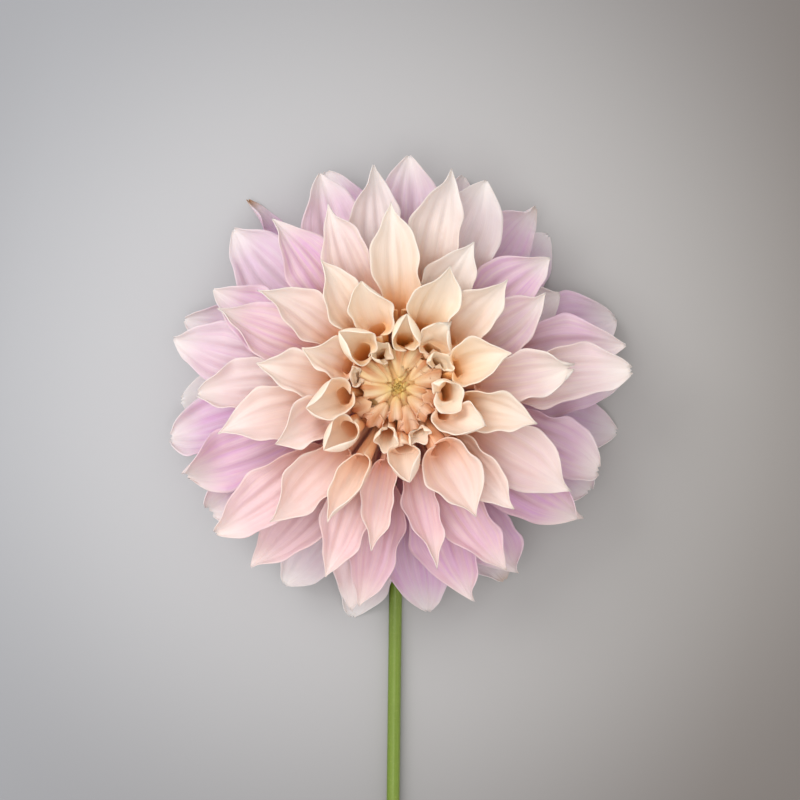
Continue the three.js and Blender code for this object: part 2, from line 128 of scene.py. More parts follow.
# Petals that stand out from the rule: [how much further they reach, how far they point
# anticlockwise of their place].
ODD_PETALS = {
    -11: [2, 0], -10: [-2, 0], -9: [1.5, 0], -8: [-0.6, -8], -7: [3, 0], -6: [1.5, 0],
    -5: [-2, 0], -4: [1, -5], -2: [3.5, 5], 1: [6.5, 0], 2: [1.5, 0], 3: [-4, 0], 4: [2, -6],
    6: [9, 0], 7: [-7, 0], 9: [5, 1], 10: [-5, -5], 12: [-3, 5], 13: [4, 3], 14: [19, 5],
    16: [-8, 0], 17: [12, 10], 19: [0, -5], 22: [7, 1], 23: [0, 8], 24: [-9, -3], 26: [6, -2],
    27: [6, -2], 29: [-6, -3], 31: [-13, 6], 32: [-5, -5], 33: [0, -5], 36: [-16, 0],
    37: [-7, -9], 38: [0, -5], 39: [8, -3], 40: [8, 3], 41: [7, 8], 42: [-4, -10], 43: [-2, -7],
    44: [-14, -4], 45: [-13, -4], 50: [-9, 0], 54: [-7, 0], 55: [0, -6], 57: [-20, -6],
    59: [-4, -8], 61: [-2, -9], 66: [3, -2], 67: [-4, 3], 76: [11, 1], 77: [8, -3],
}
RAY_ROOTS = {"inner": 12.6, "outer": 20.0, "top": 15.0, "foot": 1.5}
HEART_ROOTS = {"radius": 10.2, "top": 26.0, "foot": 18.0}
# How far chance moves each of these, up or down.
VARY = {"reach": 0.02, "rise": 1.2, "half": 0.06, "dip": 6, "bend": 0.06, "twist": 12,
        "azimuth": 2, "widest": 0.06, "hook": 1.5, "flush": 0.4}
ROLL = 6                          # how far every blade lies over to one side
FIRST_TWISTED = 13                # the petals further in are too tightly rolled to twist
SEED = 4.7


def chance(petal, purpose):
    """The same small random number, from -1 to 1, each time for one petal and one purpose."""
    scattered = math.sin(petal * 12.9898 + purpose * 78.233 + SEED) * 43758.5453
    return 2 * (scattered - math.floor(scattered)) - 1


def root_of(petal):
    """How far out and up a petal's root is on the receptacle, in millimetres."""
    if petal < 0:
        share = (petal + HEART_FLORETS + 1) / (HEART_FLORETS + 1)
        height = HEART_ROOTS["top"] + (HEART_ROOTS["foot"] - HEART_ROOTS["top"]) * share
        return HEART_ROOTS["radius"] * share, height
    inner, outer = RAY_ROOTS["inner"], RAY_ROOTS["outer"]
    radius = math.sqrt(inner ** 2 + (outer ** 2 - inner ** 2) * petal / (RAY_PETALS - 1))
    fall = (radius - inner) / (outer - inner)
    return radius, RAY_ROOTS["top"] + (RAY_ROOTS["foot"] - RAY_ROOTS["top"]) * fall


# %% [markdown]
# ## What the coarse petals leave out
# A second short list holds what only shows close up, again for typical petals: how blunt the end
# is, how much the margin ruffles, how far the blade pinches together before its tip, how the tip
# hooks up, how wide a lip the margin turns back, how far a mouth flares, and how the tip turns
# and sways to one side. Petals of one whorl still differ. Some are narrower, more folded, blunter
# or more flushed with lilac than those beside them. Four petals have a nature of their own: one
# rolled petal opens late, and three old ones have frayed or withered tips. One of these has
# twisted into a narrow curl.

# %% What the coarse petals leave out
TRAITS = ["blunt", "ruffle", "pinch", "hook", "lip", "flare", "turn", "sway"]
TRAIT_ROWS = np.array([
    [-34, 0.0, 0.0, 0, 0.0, 0.0, 0.0, 0, 0.0],
    [-9, 0.0, 0.0, 0, 0.0, 0.0, 0.0, 0, 0.5],
    [-4, 0.3, 0.2, 0, 0.0, 0.2, 0.0, 0, 0.6],
    [-1, 0.8, 0.5, 0, 0.5, 0.6, 0.6, 0, 0.6],
    [0, 0.9, 0.5, 0, 0.5, 1.0, 1.6, 0, 0.0],
    [4, 0.9, 0.5, 0, 0.5, 1.0, 1.8, 0, 0.0],
    [5, 0.0, 0.4, 26, 1.5, 2.2, 0.0, 20, 1.0],
    [14, 0.0, 0.5, 34, 1.5, 2.0, 0.0, 45, 3.0],
    [33, 0.0, 0.7, 40, 3.0, 0.6, 0.0, 60, 5.5],
    [57, 0.2, 1.0, 30, 3.0, 0.4, 0.0, 50, 5.5],
    [79, 0.4, 1.3, 20, 2.0, 0.3, 0.0, 40, 4.0],
])
# How wide some of the petals are beside their neighbours.
WIDTHS = {0: 0.95, 2: 1.05, 3: 0.85, 14: 0.85, 15: 1.12, 17: 1.25, 18: 1.12, 22: 0.85, 30: 0.8,
          33: 1.2, 48: 1.1, 52: 1.2}
# How many degrees further some blades curl round than their neighbours, or less if below 0.
FOLDED = {14: 22, 17: -6, 21: 10, 22: 24, 24: 8, 26: 6, 27: 12, 29: 12, 30: 34, 31: -8, 33: -8,
          34: 10, 35: 12, 37: 10, 38: 8, 39: 6, 42: -6, 43: 16, 44: -6, 45: 12, 52: -8, 56: 14}
# How blunt some of the ends are, from 0 to 1.
BLUNT = {28: 0.7, 40: 0.4, 41: 0.6, 45: 0.5, 46: 0.7, 53: 0.8, 54: 0.7, 61: 0.8, 66: 0.6, 67: 0.6}
# How strongly lilac some of the petals are flushed, from 0 to 1.
FLUSH = {14: 0.3, 17: 0.8, 18: 0.1, 22: 0.8, 24: 0.5, 26: 0.2, 30: 0.8, 31: 0.1, 32: 0.3,
         35: 0.5, 37: 0.8, 38: 0.8, 39: 0.1, 41: 0.5, 42: 0.9, 43: 0.7, 44: 0.9, 46: 1.0, 47: 0.2,
         49: 0.8, 50: 0.9, 51: 0.9, 53: 0.9, 59: 0.9, 61: 0.9, 64: 0.9, 66: 0.9, 67: 1.0, 76: 1.0}
OWN_NATURE = {
    7: {"dip": 74, "shut": 0.76, "spread": 1.1, "blunt": 0.9, "pinch": 0, "hook": 0.5,
        "lip": 1.0, "flare": 2.2},
    65: {"ruffle": 3.0, "wither": 0.3},
    72: {"ruffle": 2.4, "wither": 0.4},
    76: {"twist": 60, "half": 10.5, "hook": 9.0, "ruffle": 1.0, "wither": 1.0, "blunt": 0.5},
}


def petal_shape(petal):
    """Everything that settles one petal, in metres and radians."""
    shape = {name: float(np.interp(petal, WHORLS[:, 0], WHORLS[:, i + 1]))
             for i, name in enumerate(COLUMNS)}
    shape.update({name: float(np.interp(petal, TRAIT_ROWS[:, 0], TRAIT_ROWS[:, i + 1]))
                  for i, name in enumerate(TRAITS)})
    vary = 1 if petal >= 0 else 0
    longer, turned = ODD_PETALS.get(petal, [0, 0])
    shape["reach"] = (shape["reach"] + longer) * (1 + vary * VARY["reach"] * chance(petal, 1))
    shape["rise"] += (1 if vary else 1 / 3) * VARY["rise"] * chance(petal, 2)
    shape["half"] *= (1 + vary * VARY["half"] * chance(petal, 3)) * WIDTHS.get(petal, 1)
    shape["dip"] += vary * VARY["dip"] * chance(petal, 4)
    shape["blade"] += FOLDED.get(petal, 0)
    if petal >= FIRST_TWISTED:
        shape["widest"] += VARY["widest"] * chance(petal, 12)
    shape["twist"] = VARY["twist"] * chance(petal, 6) if petal >= FIRST_TWISTED else 0.0
    shape["hook"] *= 1 + VARY["hook"] * chance(petal, 8)
    shape["turn"] *= chance(petal, 9)
    shape["sway"] *= chance(petal, 10)
    shape["blunt"] = BLUNT.get(petal, shape["blunt"])
    shape["wither"] = 0.0
    shape["flush"] = FLUSH.get(petal, 0.5 + VARY["flush"] * chance(petal, 11))
    shape.update(OWN_NATURE.get(petal, {}))
    shape["roll"] = vary * ROLL
    shape["azimuth"] = (FIRST_AZIMUTH + GOLDEN_ANGLE * petal + turned
                        + VARY["azimuth"] * chance(petal, 7))
    root = np.array(root_of(petal))
    tip = np.array([shape["reach"], shape["rise"]])
    chord = float(np.hypot(*(tip - root)))
    shape["bend"] = VARY["bend"] * chance(petal, 5) * chord
    lift, dip = math.radians(shape["lift"]), math.radians(shape["dip"])
    leave = root + shape["start"] * chord * np.array([math.cos(lift), math.sin(lift)])
    arrive = tip - shape["end"] * chord * np.array([math.cos(dip), math.sin(dip)])
    for number, corner in enumerate([root, leave, arrive, tip]):
        shape[f"rib_{number}"] = (corner[0] * MM, 0.0, corner[1] * MM)
    for name in ("half", "bend", "ruffle", "hook", "lip", "flare", "sway"):
        shape[name] *= MM
    for name in ("throat", "blade", "twist", "roll", "azimuth", "pinch", "turn"):
        shape[name] = math.radians(shape[name])
    shape["petal"] = float(petal)
    return shape


shapes = {petal: petal_shape(petal) for petal in range(-HEART_FLORETS, RAY_PETALS)}
print(len(shapes), "petals and florets; the longest reaches",
      round(max(s["rib_3"][0] for s in shapes.values()) / MM), "mm")

# %% [markdown]
# ## A short way to write formulas
# Geometry Nodes and shaders do their sums with one small node a step. A petal takes about a
# hundred of them, which is hard to read as nodes. This helper lets a plain Python formula make
# them: adding two fields, for example, places an Add node and links it.

# %% A short way to write formulas
class Field:
    """A value in a node tree that can be used in sums."""

    def __init__(self, tree, socket):
        self.tree = tree
        self.socket = socket

    def __add__(self, other):
        return maths(self.tree, "ADD", self, other)

    __radd__ = __add__

    def __mul__(self, other):
        return maths(self.tree, "MULTIPLY", self, other)

    __rmul__ = __mul__

    def __sub__(self, other):
        return maths(self.tree, "SUBTRACT", self, other)

    def __rsub__(self, other):
        return maths(self.tree, "SUBTRACT", other, self)

    def __truediv__(self, other):
        return maths(self.tree, "DIVIDE", self, other)

    def __pow__(self, other):
        return maths(self.tree, "POWER", self, other)


def connect(tree, socket, value):
    """Links a field or a socket into an input, or sets the input to a plain value."""
    if isinstance(value, Field):
        tree.links.new(value.socket, socket)
    elif isinstance(value, bpy.types.NodeSocket):
        tree.links.new(value, socket)
    else:
        socket.default_value = value


def maths(tree, operation, *values):
    node = tree.nodes.new("ShaderNodeMath")
    node.operation = operation
    for socket, value in zip(node.inputs, values):
        connect(tree, socket, value)
    return Field(tree, node.outputs[0])


def remap(field, low, high, to_low=0.0, to_high=1.0, kind="LINEAR"):
    """Moves a field from one range to another and stops it at the ends."""
    node = field.tree.nodes.new("ShaderNodeMapRange")
    node.interpolation_type = kind
    for socket, value in zip(node.inputs, [field, low, high, to_low, to_high]):
        connect(field.tree, socket, value)
    return Field(field.tree, node.outputs[0])


def vector_of(tree, x, y, z):
    node = tree.nodes.new("ShaderNodeCombineXYZ")
    for socket, value in zip(node.inputs, [x, y, z]):
        connect(tree, socket, value)
    return Field(tree, node.outputs[0])


def parts_of(field):
    node = field.tree.nodes.new("ShaderNodeSeparateXYZ")
    connect(field.tree, node.inputs[0], field)
    return [Field(field.tree, socket) for socket in node.outputs]


def noise(tree, place, detail=2.0, scale=1.0):
    """Smooth noise round 0, from about -1 to 1."""
    node = tree.nodes.new("ShaderNodeTexNoise")
    connect(tree, node.inputs["Vector"], place)
    connect(tree, node.inputs["Scale"], scale)
    node.inputs["Detail"].default_value = detail
    return (Field(tree, node.outputs[0]) - 0.5) * 2.0


# %% [markdown]
# ## One tree for every petal
# All petals and florets come from one Geometry Nodes tree. Each petal starts as a single point
# that carries its numbers. The tree puts a flat grid on every point, and then moves each grid
# point by the formula of the blade: along the midrib, which is a curve in an upright plane, and
# round an arc across it that is nearly closed at the throat and opens towards the tip. Soft
# ridges run lengthwise, the margins turn back in a lip and wave a little, and slow noise makes
# each blade uneven. The blade folds and narrows to a drawn-out tip, or ends bluntly in three
# lobes, which are deep on a bud and shallow on an old petal.

# %% One tree for every petal
FLOATS = ["petal", "half", "throat", "blade", "shut", "spread", "widest", "twist", "roll",
          "azimuth", "bend", "wither", "flush"] + TRAITS
VECTORS = ["rib_0", "rib_1", "rib_2", "rib_3"]
BROAD = 18 * MM                   # half the width of a full-sized petal
PETAL_INPUTS = {
    "Rows": ("NodeSocketInt", 52),
    "Columns": ("NodeSocketInt", 26),
    "Claw": ("NodeSocketFloat", 0.13),
    "Swell": ("NodeSocketFloat", 1.1),
    "Shoulder": ("NodeSocketFloat", 2.2),
    "Point": ("NodeSocketFloat", 1.5),
    "Blunt Fill": ("NodeSocketFloat", 0.9),
    "Depth": ("NodeSocketFloat", 1.0),
    "Mouth Rows": ("NodeSocketFloat", 1.0),
    "Tip Width": ("NodeSocketFloat", 0.05 * MM),
    "Mouth Rounding": ("NodeSocketFloat", 0.32),
    "Tightest Bend": ("NodeSocketFloat", 0.5 * MM),
    "Lap": ("NodeSocketFloat", 0.08),
    "Notch": ("NodeSocketFloat", 0.06),
    "Ridge Height": ("NodeSocketFloat", 0.6 * MM),
    "Ridge Count": ("NodeSocketFloat", 4.4),
    "Ridge Shift": ("NodeSocketFloat", 0.6),
    "Wave": ("NodeSocketFloat", 0.8 * MM),
    "Unevenness": ("NodeSocketFloat", 1.2 * MM),
    "Folds": ("NodeSocketFloat", 0.5 * MM),
    "Material": ("NodeSocketMaterial", None),
}


def named(tree, name, kind="FLOAT"):
    node = tree.nodes.new("GeometryNodeInputNamedAttribute")
    node.data_type = kind
    node.inputs["Name"].default_value = name
    return Field(tree, node.outputs[0])


def store(tree, geometry, name, value):
    node = tree.nodes.new("GeometryNodeStoreNamedAttribute")
    node.inputs["Name"].default_value = name
    connect(tree, node.inputs["Geometry"], geometry)
    connect(tree, node.inputs["Value"], value)
    return node.outputs[0]


def new_tree(name, inputs):
    """An empty Geometry Nodes tree with a geometry in and out and the named inputs."""
    tree = bpy.data.node_groups.new(name, "GeometryNodeTree")
    tree.interface.new_socket("Geometry", in_out="INPUT", socket_type="NodeSocketGeometry")
    tree.interface.new_socket("Geometry", in_out="OUTPUT", socket_type="NodeSocketGeometry")
    for label, (kind, default) in inputs.items():
        socket = tree.interface.new_socket(label, in_out="INPUT", socket_type=kind)
        if default is not None:
            socket.default_value = default
    given = tree.nodes.new("NodeGroupInput")
    made = tree.nodes.new("NodeGroupOutput")
    return tree, given, made


def petal_sheets(tree, given, size):
    """A flat grid for each petal, with u along it and v across it."""
    grid = tree.nodes.new("GeometryNodeMeshGrid")
    grid.inputs["Size X"].default_value = 2.0
    grid.inputs["Size Y"].default_value = 1.0
    connect(tree, grid.inputs["Vertices X"], size["Columns"] + 1)
    connect(tree, grid.inputs["Vertices Y"], size["Rows"] + 1)
    position = tree.nodes.new("GeometryNodeInputPosition")
    across, along, _ = parts_of(Field(tree, position.outputs[0]))
    sheet = store(tree, grid.outputs["Mesh"], "u", along + 0.5)
    sheet = store(tree, sheet, "v", across)
    copies = tree.nodes.new("GeometryNodeInstanceOnPoints")
    connect(tree, copies.inputs["Points"], given.outputs["Geometry"])
    connect(tree, copies.inputs["Instance"], sheet)
    real = tree.nodes.new("GeometryNodeRealizeInstances")
    connect(tree, real.inputs["Geometry"], copies.outputs[0])
    return real.outputs[0]


def midrib(tree, s):
    """Where the midrib is at s, out and up, and which way it runs there."""
    rib = [parts_of(named(tree, name, "FLOAT_VECTOR")) for name in VECTORS]
    rest = 1 - s
    weights = [rest * rest * rest, rest * rest * s * 3, rest * s * s * 3, s * s * s]
    slopes = [rest * rest * 3, rest * s * 6, s * s * 3]

    def total(terms):
        return sum(terms[1:], terms[0])

    place = [total([weights[i] * rib[i][axis] for i in range(4)]) for axis in (0, 2)]
    steps = [total([slopes[i] * (rib[i + 1][axis] - rib[i][axis]) for i in range(3)])
             for axis in (0, 2)]
    length = maths(tree, "SQRT", steps[0] * steps[0] + steps[1] * steps[1])
    return place[0], place[1], steps[0] / length, steps[1] / length


def petal_tree():
    """The tree that turns one point with its numbers into the blade of a petal, in its place."""
    tree, given, made = new_tree("petals by rule", PETAL_INPUTS)
    size = {label: Field(tree, given.outputs[label]) for label in PETAL_INPUTS}
    sheets = petal_sheets(tree, given, size)
    u, v = named(tree, "u"), named(tree, "v")
    one = {name: named(tree, name) for name in FLOATS}
    edge = maths(tree, "ABSOLUTE", v)

    # Rows of points lie closer together where the throat opens, and the end has three lobes.
    shut = one["shut"]
    below = maths(tree, "MAXIMUM", 1 - u / shut, 0.0) ** size["Mouth Rows"]
    above = maths(tree, "MAXIMUM", (u - shut) / (1 - shut), 0.0) ** size["Mouth Rows"]
    u = shut * (1 - below) + (1 - shut) * above
    sheets = store(tree, sheets, "u", u)
    lobes = maths(tree, "SINE", v * (1.5 * math.pi))
    s = u - one["blunt"] * size["Notch"] * lobes * lobes * remap(u, 0.6, 1.0)
    out, up, along_out, along_up = midrib(tree, s)

    # How wide the blade is at s, and how far it curls round.
    grow = remap(u, -0.05, one["widest"], kind="SMOOTHSTEP")
    grow = size["Claw"] + (1 - size["Claw"]) * grow ** size["Swell"]
    taper = remap(u, one["widest"], 1.0)
    pointed = (1 - taper ** size["Shoulder"]) ** size["Point"]
    rounded = (1 - size["Blunt Fill"] * taper ** 6) ** 0.5
    half = one["half"] * grow * (pointed + (rounded - pointed) * one["blunt"]) + size["Tip Width"]
    opened = remap(s, one["shut"], one["spread"]) ** size["Mouth Rounding"]
    curl = one["throat"] + (one["blade"] - one["throat"]) * opened
    curl = curl + one["pinch"] * remap(s, 0.78, 1.0, kind="SMOOTHSTEP")
    curl = maths(tree, "MINIMUM", curl, half / size["Tightest Bend"])
    lap = v * size["Lap"] * remap(curl, math.radians(150), math.radians(178))
    radius = half / curl * (1 + lap)
    turn = v * curl
    sine, cosine = maths(tree, "SINE", turn), maths(tree, "COSINE", turn)

    # What stands proud of the smooth blade: ridges, waves, bumps, folds, lip and mouth.
    share = half / BROAD
    middle = 1 - v * v
    phase = maths(tree, "SINE", one["petal"] * 2.1) * size["Ridge Shift"]
    ridges = maths(tree, "COSINE", v * size["Ridge Count"] * math.pi + phase) * middle * middle
    ridges = ridges * remap(s, 0.15, 0.5) * remap(s, 0.97, 0.75)
    folds = noise(tree, vector_of(tree, s * 1.1, v * 4 + one["petal"] * 6.3, one["petal"]))
    lip = edge ** 6 * remap(s, one["shut"] - 0.12, one["shut"] + 0.04) * remap(s, 0.995, 0.85)
    side = maths(tree, "SIGN", v)
    slow = maths(tree, "SINE", s * 15 + one["petal"] * 2.4 + side * 1.3)
    quick = maths(tree, "SINE", s * 37 + one["petal"] * 4.1 + side * 2.0)
    free = remap(s, one["shut"] - 0.1, one["shut"] + 0.2)
    place = vector_of(tree, s * 2.6, v * 1.3 + one["petal"] * 3.7, one["petal"] * 5.1)
    bumps = noise(tree, place) * remap(s, 0.2, 0.5)
    proud = (ridges * size["Ridge Height"] + edge ** 2 * slow * free * size["Wave"]
             + bumps * size["Unevenness"] + folds * size["Folds"] * free) * share
    proud = proud - lip * one["lip"] + edge ** 3 * quick * free * one["ruffle"] * remap(s, 1.0, 0.9)
    mouth = remap(s, 0.78, 1.0) ** 2
    pucker = maths(tree, "SINE", v * 10 + one["petal"] * 1.7)
    proud = proud - mouth * one["flare"] * (1 + pucker * 0.35)
    sheets = store(tree, sheets, "crest", ridges)
    flat_x = radius * sine - proud * sine
    flat_y = radius * (1 - cosine) * size["Depth"] + proud * cosine

    # The blade twists, leans and sways, and is then set on its midrib, round the bloom's axis.
    tilt = one["twist"] * s * s + one["roll"] * remap(s, 0.0, 0.5, kind="SMOOTHSTEP")
    tilt = tilt + one["turn"] * remap(s, 0.65, 1.0) ** 2
    tilt_sine, tilt_cosine = maths(tree, "SINE", tilt), maths(tree, "COSINE", tilt)
    aside = flat_x * tilt_cosine - flat_y * tilt_sine + one["bend"] * s * s
    aside = aside + one["sway"] * remap(s, 0.62, 1.0) ** 2
    lifted = flat_x * tilt_sine + flat_y * tilt_cosine
    out = out - lifted * along_up
    up = up + lifted * along_out + one["hook"] * remap(s, 0.72, 1.0) ** 2
    sine, cosine = maths(tree, "SINE", one["azimuth"]), maths(tree, "COSINE", one["azimuth"])
    place = vector_of(
        tree,
        out * cosine - aside * sine + AXIS_X,
        out * sine + aside * cosine + AXIS_Y,
        up + SURFACE_BELOW,
    )
    move = tree.nodes.new("GeometryNodeSetPosition")
    connect(tree, move.inputs["Geometry"], sheets)
    connect(tree, move.inputs["Position"], place)
    finish = tree.nodes.new("GeometryNodeSetMaterial")
    connect(tree, finish.inputs["Geometry"], move.outputs[0])
    connect(tree, finish.inputs["Material"], size["Material"].socket)
    connect(tree, made.inputs[0], finish.outputs[0])
    return tree


PETAL_TREE = petal_tree()
print("petal tree:", len(PETAL_TREE.nodes), "nodes")


# %% [markdown]
# ## Plain meshes from a tree
# A Geometry Nodes modifier works its tree out anew each time, and its result isn't a mesh of its
# own. An export needs plain meshes, so each result is kept as the object's mesh and the modifier
# goes. A modifier knows a tree's inputs by their identifiers, and their names are only labels.

# %% Plain meshes from a tree
def run_tree(obj, tree, settings):
    """Runs a tree on an object and keeps the result as the object's plain mesh."""
    modifier = obj.modifiers.new("rule", "NODES")
    modifier.node_group = tree
    for item in tree.interface.items_tree:
        if item.in_out == "INPUT" and item.name in settings:
            modifier[item.identifier] = settings[item.name]
    keep_result(obj)


def keep_result(obj):
    """Replaces an object's mesh by what its modifiers make of it, and removes them."""
    bpy.context.view_layer.update()
    seen = obj.evaluated_get(bpy.context.evaluated_depsgraph_get())
    mesh = bpy.data.meshes.new_from_object(seen)
    obj.modifiers.clear()
    obj.data = mesh
    mesh.name = obj.name


def add_object(name, mesh):
    obj = bpy.data.objects.new(name, mesh)
    scene.collection.objects.link(obj)
    return obj


def seeds(name, forms):
    """One point for each petal, which carries the petal's numbers."""
    mesh = bpy.data.meshes.new(name)
    mesh.from_pydata([(0, 0, 0)] * len(forms), [], [])
    for key in FLOATS:
        layer = mesh.attributes.new(key, "FLOAT", "POINT")
        layer.data.foreach_set("value", [form[key] for form in forms])
    for key in VECTORS:
        layer = mesh.attributes.new(key, "FLOAT_VECTOR", "POINT")
        layer.data.foreach_set("vector", np.ravel([form[key] for form in forms]))
    return add_object(name, mesh)


# %% [markdown]
# ## The petals, row by row
# The bloom is split into five pieces, from the closed heart to the drooping outer rows, so that
# no piece gets too heavy. The florets of the heart have stronger folds. The rolled petals keep
# their width nearly to the end, which makes their mouths round, and the outer blades wave most.

# %% The petals, row by row
PIECES = {
    "heart": {"petals": range(-HEART_FLORETS, 0), "Rows": 56, "Columns": 20,
              "Shoulder": 4.4, "Point": 0.7, "Depth": 0.62, "Blunt Fill": 0.6,
              "Ridge Height": 1.4 * MM, "Ridge Count": 4.6, "Ridge Shift": 3.0,
              "Wave": 0.4 * MM, "Unevenness": 2.2 * MM, "Folds": 2.0 * MM, "Notch": 0.05},
    "trumpets": {"petals": range(0, 14), "Rows": 76, "Columns": 30, "Mouth Rows": 1.5,
                 "Claw": 0.25, "Shoulder": 5.0, "Point": 0.85, "Mouth Rounding": 0.24,
                 "Ridge Height": 0.4 * MM, "Notch": 0.07, "Blunt Fill": 0.3},
    "cupped_petals": {"petals": range(14, 34), "Rows": 64, "Columns": 28, "Mouth Rows": 1.4,
                      "Claw": 0.4, "Shoulder": 2.5, "Point": 1.2, "Mouth Rounding": 0.28,
                      "Wave": 1.8 * MM, "Ridge Height": 0.8 * MM, "Unevenness": 1.8 * MM},
    "open_petals": {"petals": range(34, 57), "Rows": 52, "Columns": 28, "Wave": 2.8 * MM,
                    "Ridge Height": 1.1 * MM, "Unevenness": 3.0 * MM, "Notch": 0.015,
                    "Shoulder": 2.4, "Point": 1.2},
    "outer_petals": {"petals": range(57, RAY_PETALS), "Rows": 52, "Columns": 28,
                     "Wave": 3.4 * MM, "Unevenness": 3.8 * MM, "Ridge Height": 1.1 * MM,
                     "Notch": 0.015, "Shoulder": 2.4, "Point": 1.15},
}
pieces = {}
for name, settings in PIECES.items():
    petals = list(settings["petals"])
    piece = seeds(name, [shapes[petal] for petal in petals])
    run_tree(piece, PETAL_TREE, settings)
    pieces[name] = piece
    print(name, len(petals), "petals,", len(piece.data.polygons), "faces")

# %% [markdown]
# ## Petals that give way to each other
# The rule alone lets a petal pass through its neighbours. Real petals can't: each one lies
# behind those that opened after it, and bends back where they press on it. So the petals are
# taken from the middle outward. From every point of a petal a line is drawn to its back, and
# where it meets an inner petal the point moves behind that one. The step is then eased out over
# the points around it, so that the blade bends and doesn't crease.

# %% Petals that give way to each other
ROOM = 0.7 * MM                   # between the middles of two petals that touch
FURTHEST = 15 * MM                # how far behind itself a petal is checked
EASE = 0.5                        # how steeply a pressed blade may bend
SPREADS = 24                      # how many points away a push can reach
ROUNDINGS = 3                     # how often its edges are rounded off
PAST_HIT = 1e-5                   # how far past a hit the next ray starts
ON_TABLE = 0.35 * MM              # the middle of a blade that lies on the table
ON_STEM = 2 * STEM_RADIUS + 1.2 * MM
BESIDE_STEM = 14 * MM             # how far to its sides the stem holds blades up
# How many petals earlier the ones grew that a petal may lie against.
NEIGHBOURS = (2, 3, 5, 8, 10, 11, 13, 16, 18, 21, 24, 26, 29, 34, 42, 47, 55)


def back_direction(shape, u):
    """Which way a petal's back faces along its midrib."""
    rib = np.array([shape[f"rib_{i}"] for i in range(4)])[:, [0, 2]]
    rest = 1 - u
    step = (3 * rest ** 2)[:, None] * (rib[1] - rib[0])
    step += (6 * rest * u)[:, None] * (rib[2] - rib[1])
    step += (3 * u ** 2)[:, None] * (rib[3] - rib[2])
    step /= np.linalg.norm(step, axis=1)[:, None]
    azimuth = shape["azimuth"]
    return np.stack([step[:, 1] * math.cos(azimuth), step[:, 1] * math.sin(azimuth), -step[:, 0]], 1)


def shifted(field, axis, way):
    """The field moved one step along one of its axes, with nothing moved in at the end."""
    near = np.roll(field, way, axis)
    edge = [slice(None), slice(None)]
    edge[axis] = 0 if way == 1 else -1
    near[tuple(edge)] = 0
    return near


def eased(push, steps):
    """Spreads each push over its neighbours, falling off with distance, then rounds it off."""
    for _ in range(SPREADS):
        for axis in (0, 1):
            for way in (1, -1):
                push = np.maximum(push, shifted(push, axis, way) - EASE * steps[axis])
    for _ in range(ROUNDINGS):
        padded = np.pad(push, 1, mode="edge")
        around = (padded[:-2, 1:-1] + padded[2:, 1:-1] + padded[1:-1, :-2] + padded[1:-1, 2:]) / 4
        push = np.maximum(push, around)
    return push


def read_points(obj):
    points = np.zeros(len(obj.data.vertices) * 3)
    obj.data.vertices.foreach_get("co", points)
    return points.reshape(-1, 3)


def sheet_faces(columns, rows):
    """The faces of one petal's grid, whose points run along it and then across."""
    index = np.arange(columns * rows).reshape(columns, rows)
    corners = [index[:-1, :-1], index[1:, :-1], index[1:, 1:], index[:-1, 1:]]
    return np.stack([corner.ravel() for corner in corners], 1).tolist()


def lowest_at(points):
    """The lowest a petal's middle may be: on the table, and higher over the stem."""
    aside = (points[:, 0] - AXIS_X) - (points[:, 1] - AXIS_Y) * STEM_LEAN
    over = np.where(points[:, 1] < AXIS_Y, ON_STEM, 0)
    return ON_TABLE + over * np.exp(-((aside / BESIDE_STEM) ** 4))


def furthest_hit(start, ray, others):
    """How far along a ray the last of the other petals is met."""
    far = 0.0
    for other in others:
        origin, left = start, FURTHEST
        while left > 0:
            hit = other.ray_cast(origin, ray, left)[0]
            if hit is None:
                break
            far = max(far, (hit - start).length)
            origin = hit + ray * PAST_HIT
            left = FURTHEST - (origin - start).length
    return far


def near_each_other(box, other):
    return bool(np.all(box[0] - FURTHEST < other[1]) and np.all(other[0] - FURTHEST < box[1]))


def give_way(sheet, places, shape, others):
    """Moves one petal's grid of points behind the petals it would pass through."""
    columns, rows = sheet.shape[:2]
    back = back_direction(shape, places)
    push = np.zeros((columns, rows))
    for j in range(1, rows):
        ray = Vector(back[j])
        for i in range(columns):
            far = furthest_hit(Vector(sheet[i, j]), ray, others)
            if far > 0:
                push[i, j] = far + ROOM
    long_step = np.linalg.norm(np.diff(sheet[columns // 2], axis=0), axis=1).mean()
    cross_step = np.linalg.norm(np.diff(sheet[:, rows // 2], axis=0), axis=1).mean()
    sheet += eased(push, (cross_step, long_step))[:, :, None] * back[None]
    flat = sheet.reshape(-1, 3)
    flat[:, 2] = np.maximum(flat[:, 2], lowest_at(flat))
    return int((push > 0).sum())


trees, boxes, moved = {}, {}, 0
for name, settings in PIECES.items():
    points = read_points(pieces[name])
    columns, rows = settings["Columns"] + 1, settings["Rows"] + 1
    faces = sheet_faces(columns, rows)
    places = np.zeros(len(points))
    pieces[name].data.attributes["u"].data.foreach_get("value", places)
    places = places.reshape(-1, columns, rows)[:, 0]
    for sheet, along, petal in zip(points.reshape(-1, columns, rows, 3), places,
                                   settings["petals"]):
        box = (sheet.min(axis=(0, 1)), sheet.max(axis=(0, 1)))
        inner = [petal - n for n in NEIGHBOURS if petal - n in trees and petal >= 0]
        others = [trees[n] for n in inner if near_each_other(box, boxes[n])]
        moved += give_way(sheet, along, shapes[petal], others)
        flat = sheet.reshape(-1, 3)
        trees[petal] = BVHTree.FromPolygons(flat.tolist(), faces)
        boxes[petal] = (flat.min(axis=0), flat.max(axis=0))
    pieces[name].data.vertices.foreach_set("co", points.ravel())
    pieces[name].data.update()
print(moved, "points gave way")

# %% [markdown]
# ## Thickness
# A dahlia petal is about 0.4 mm thick. Up to here each petal is a bare sheet, because a sheet
# bends easily. Solidify gives it its two faces and closes the margin between them.

# %% Thickness
PETAL_THICKNESS = 0.4 * MM


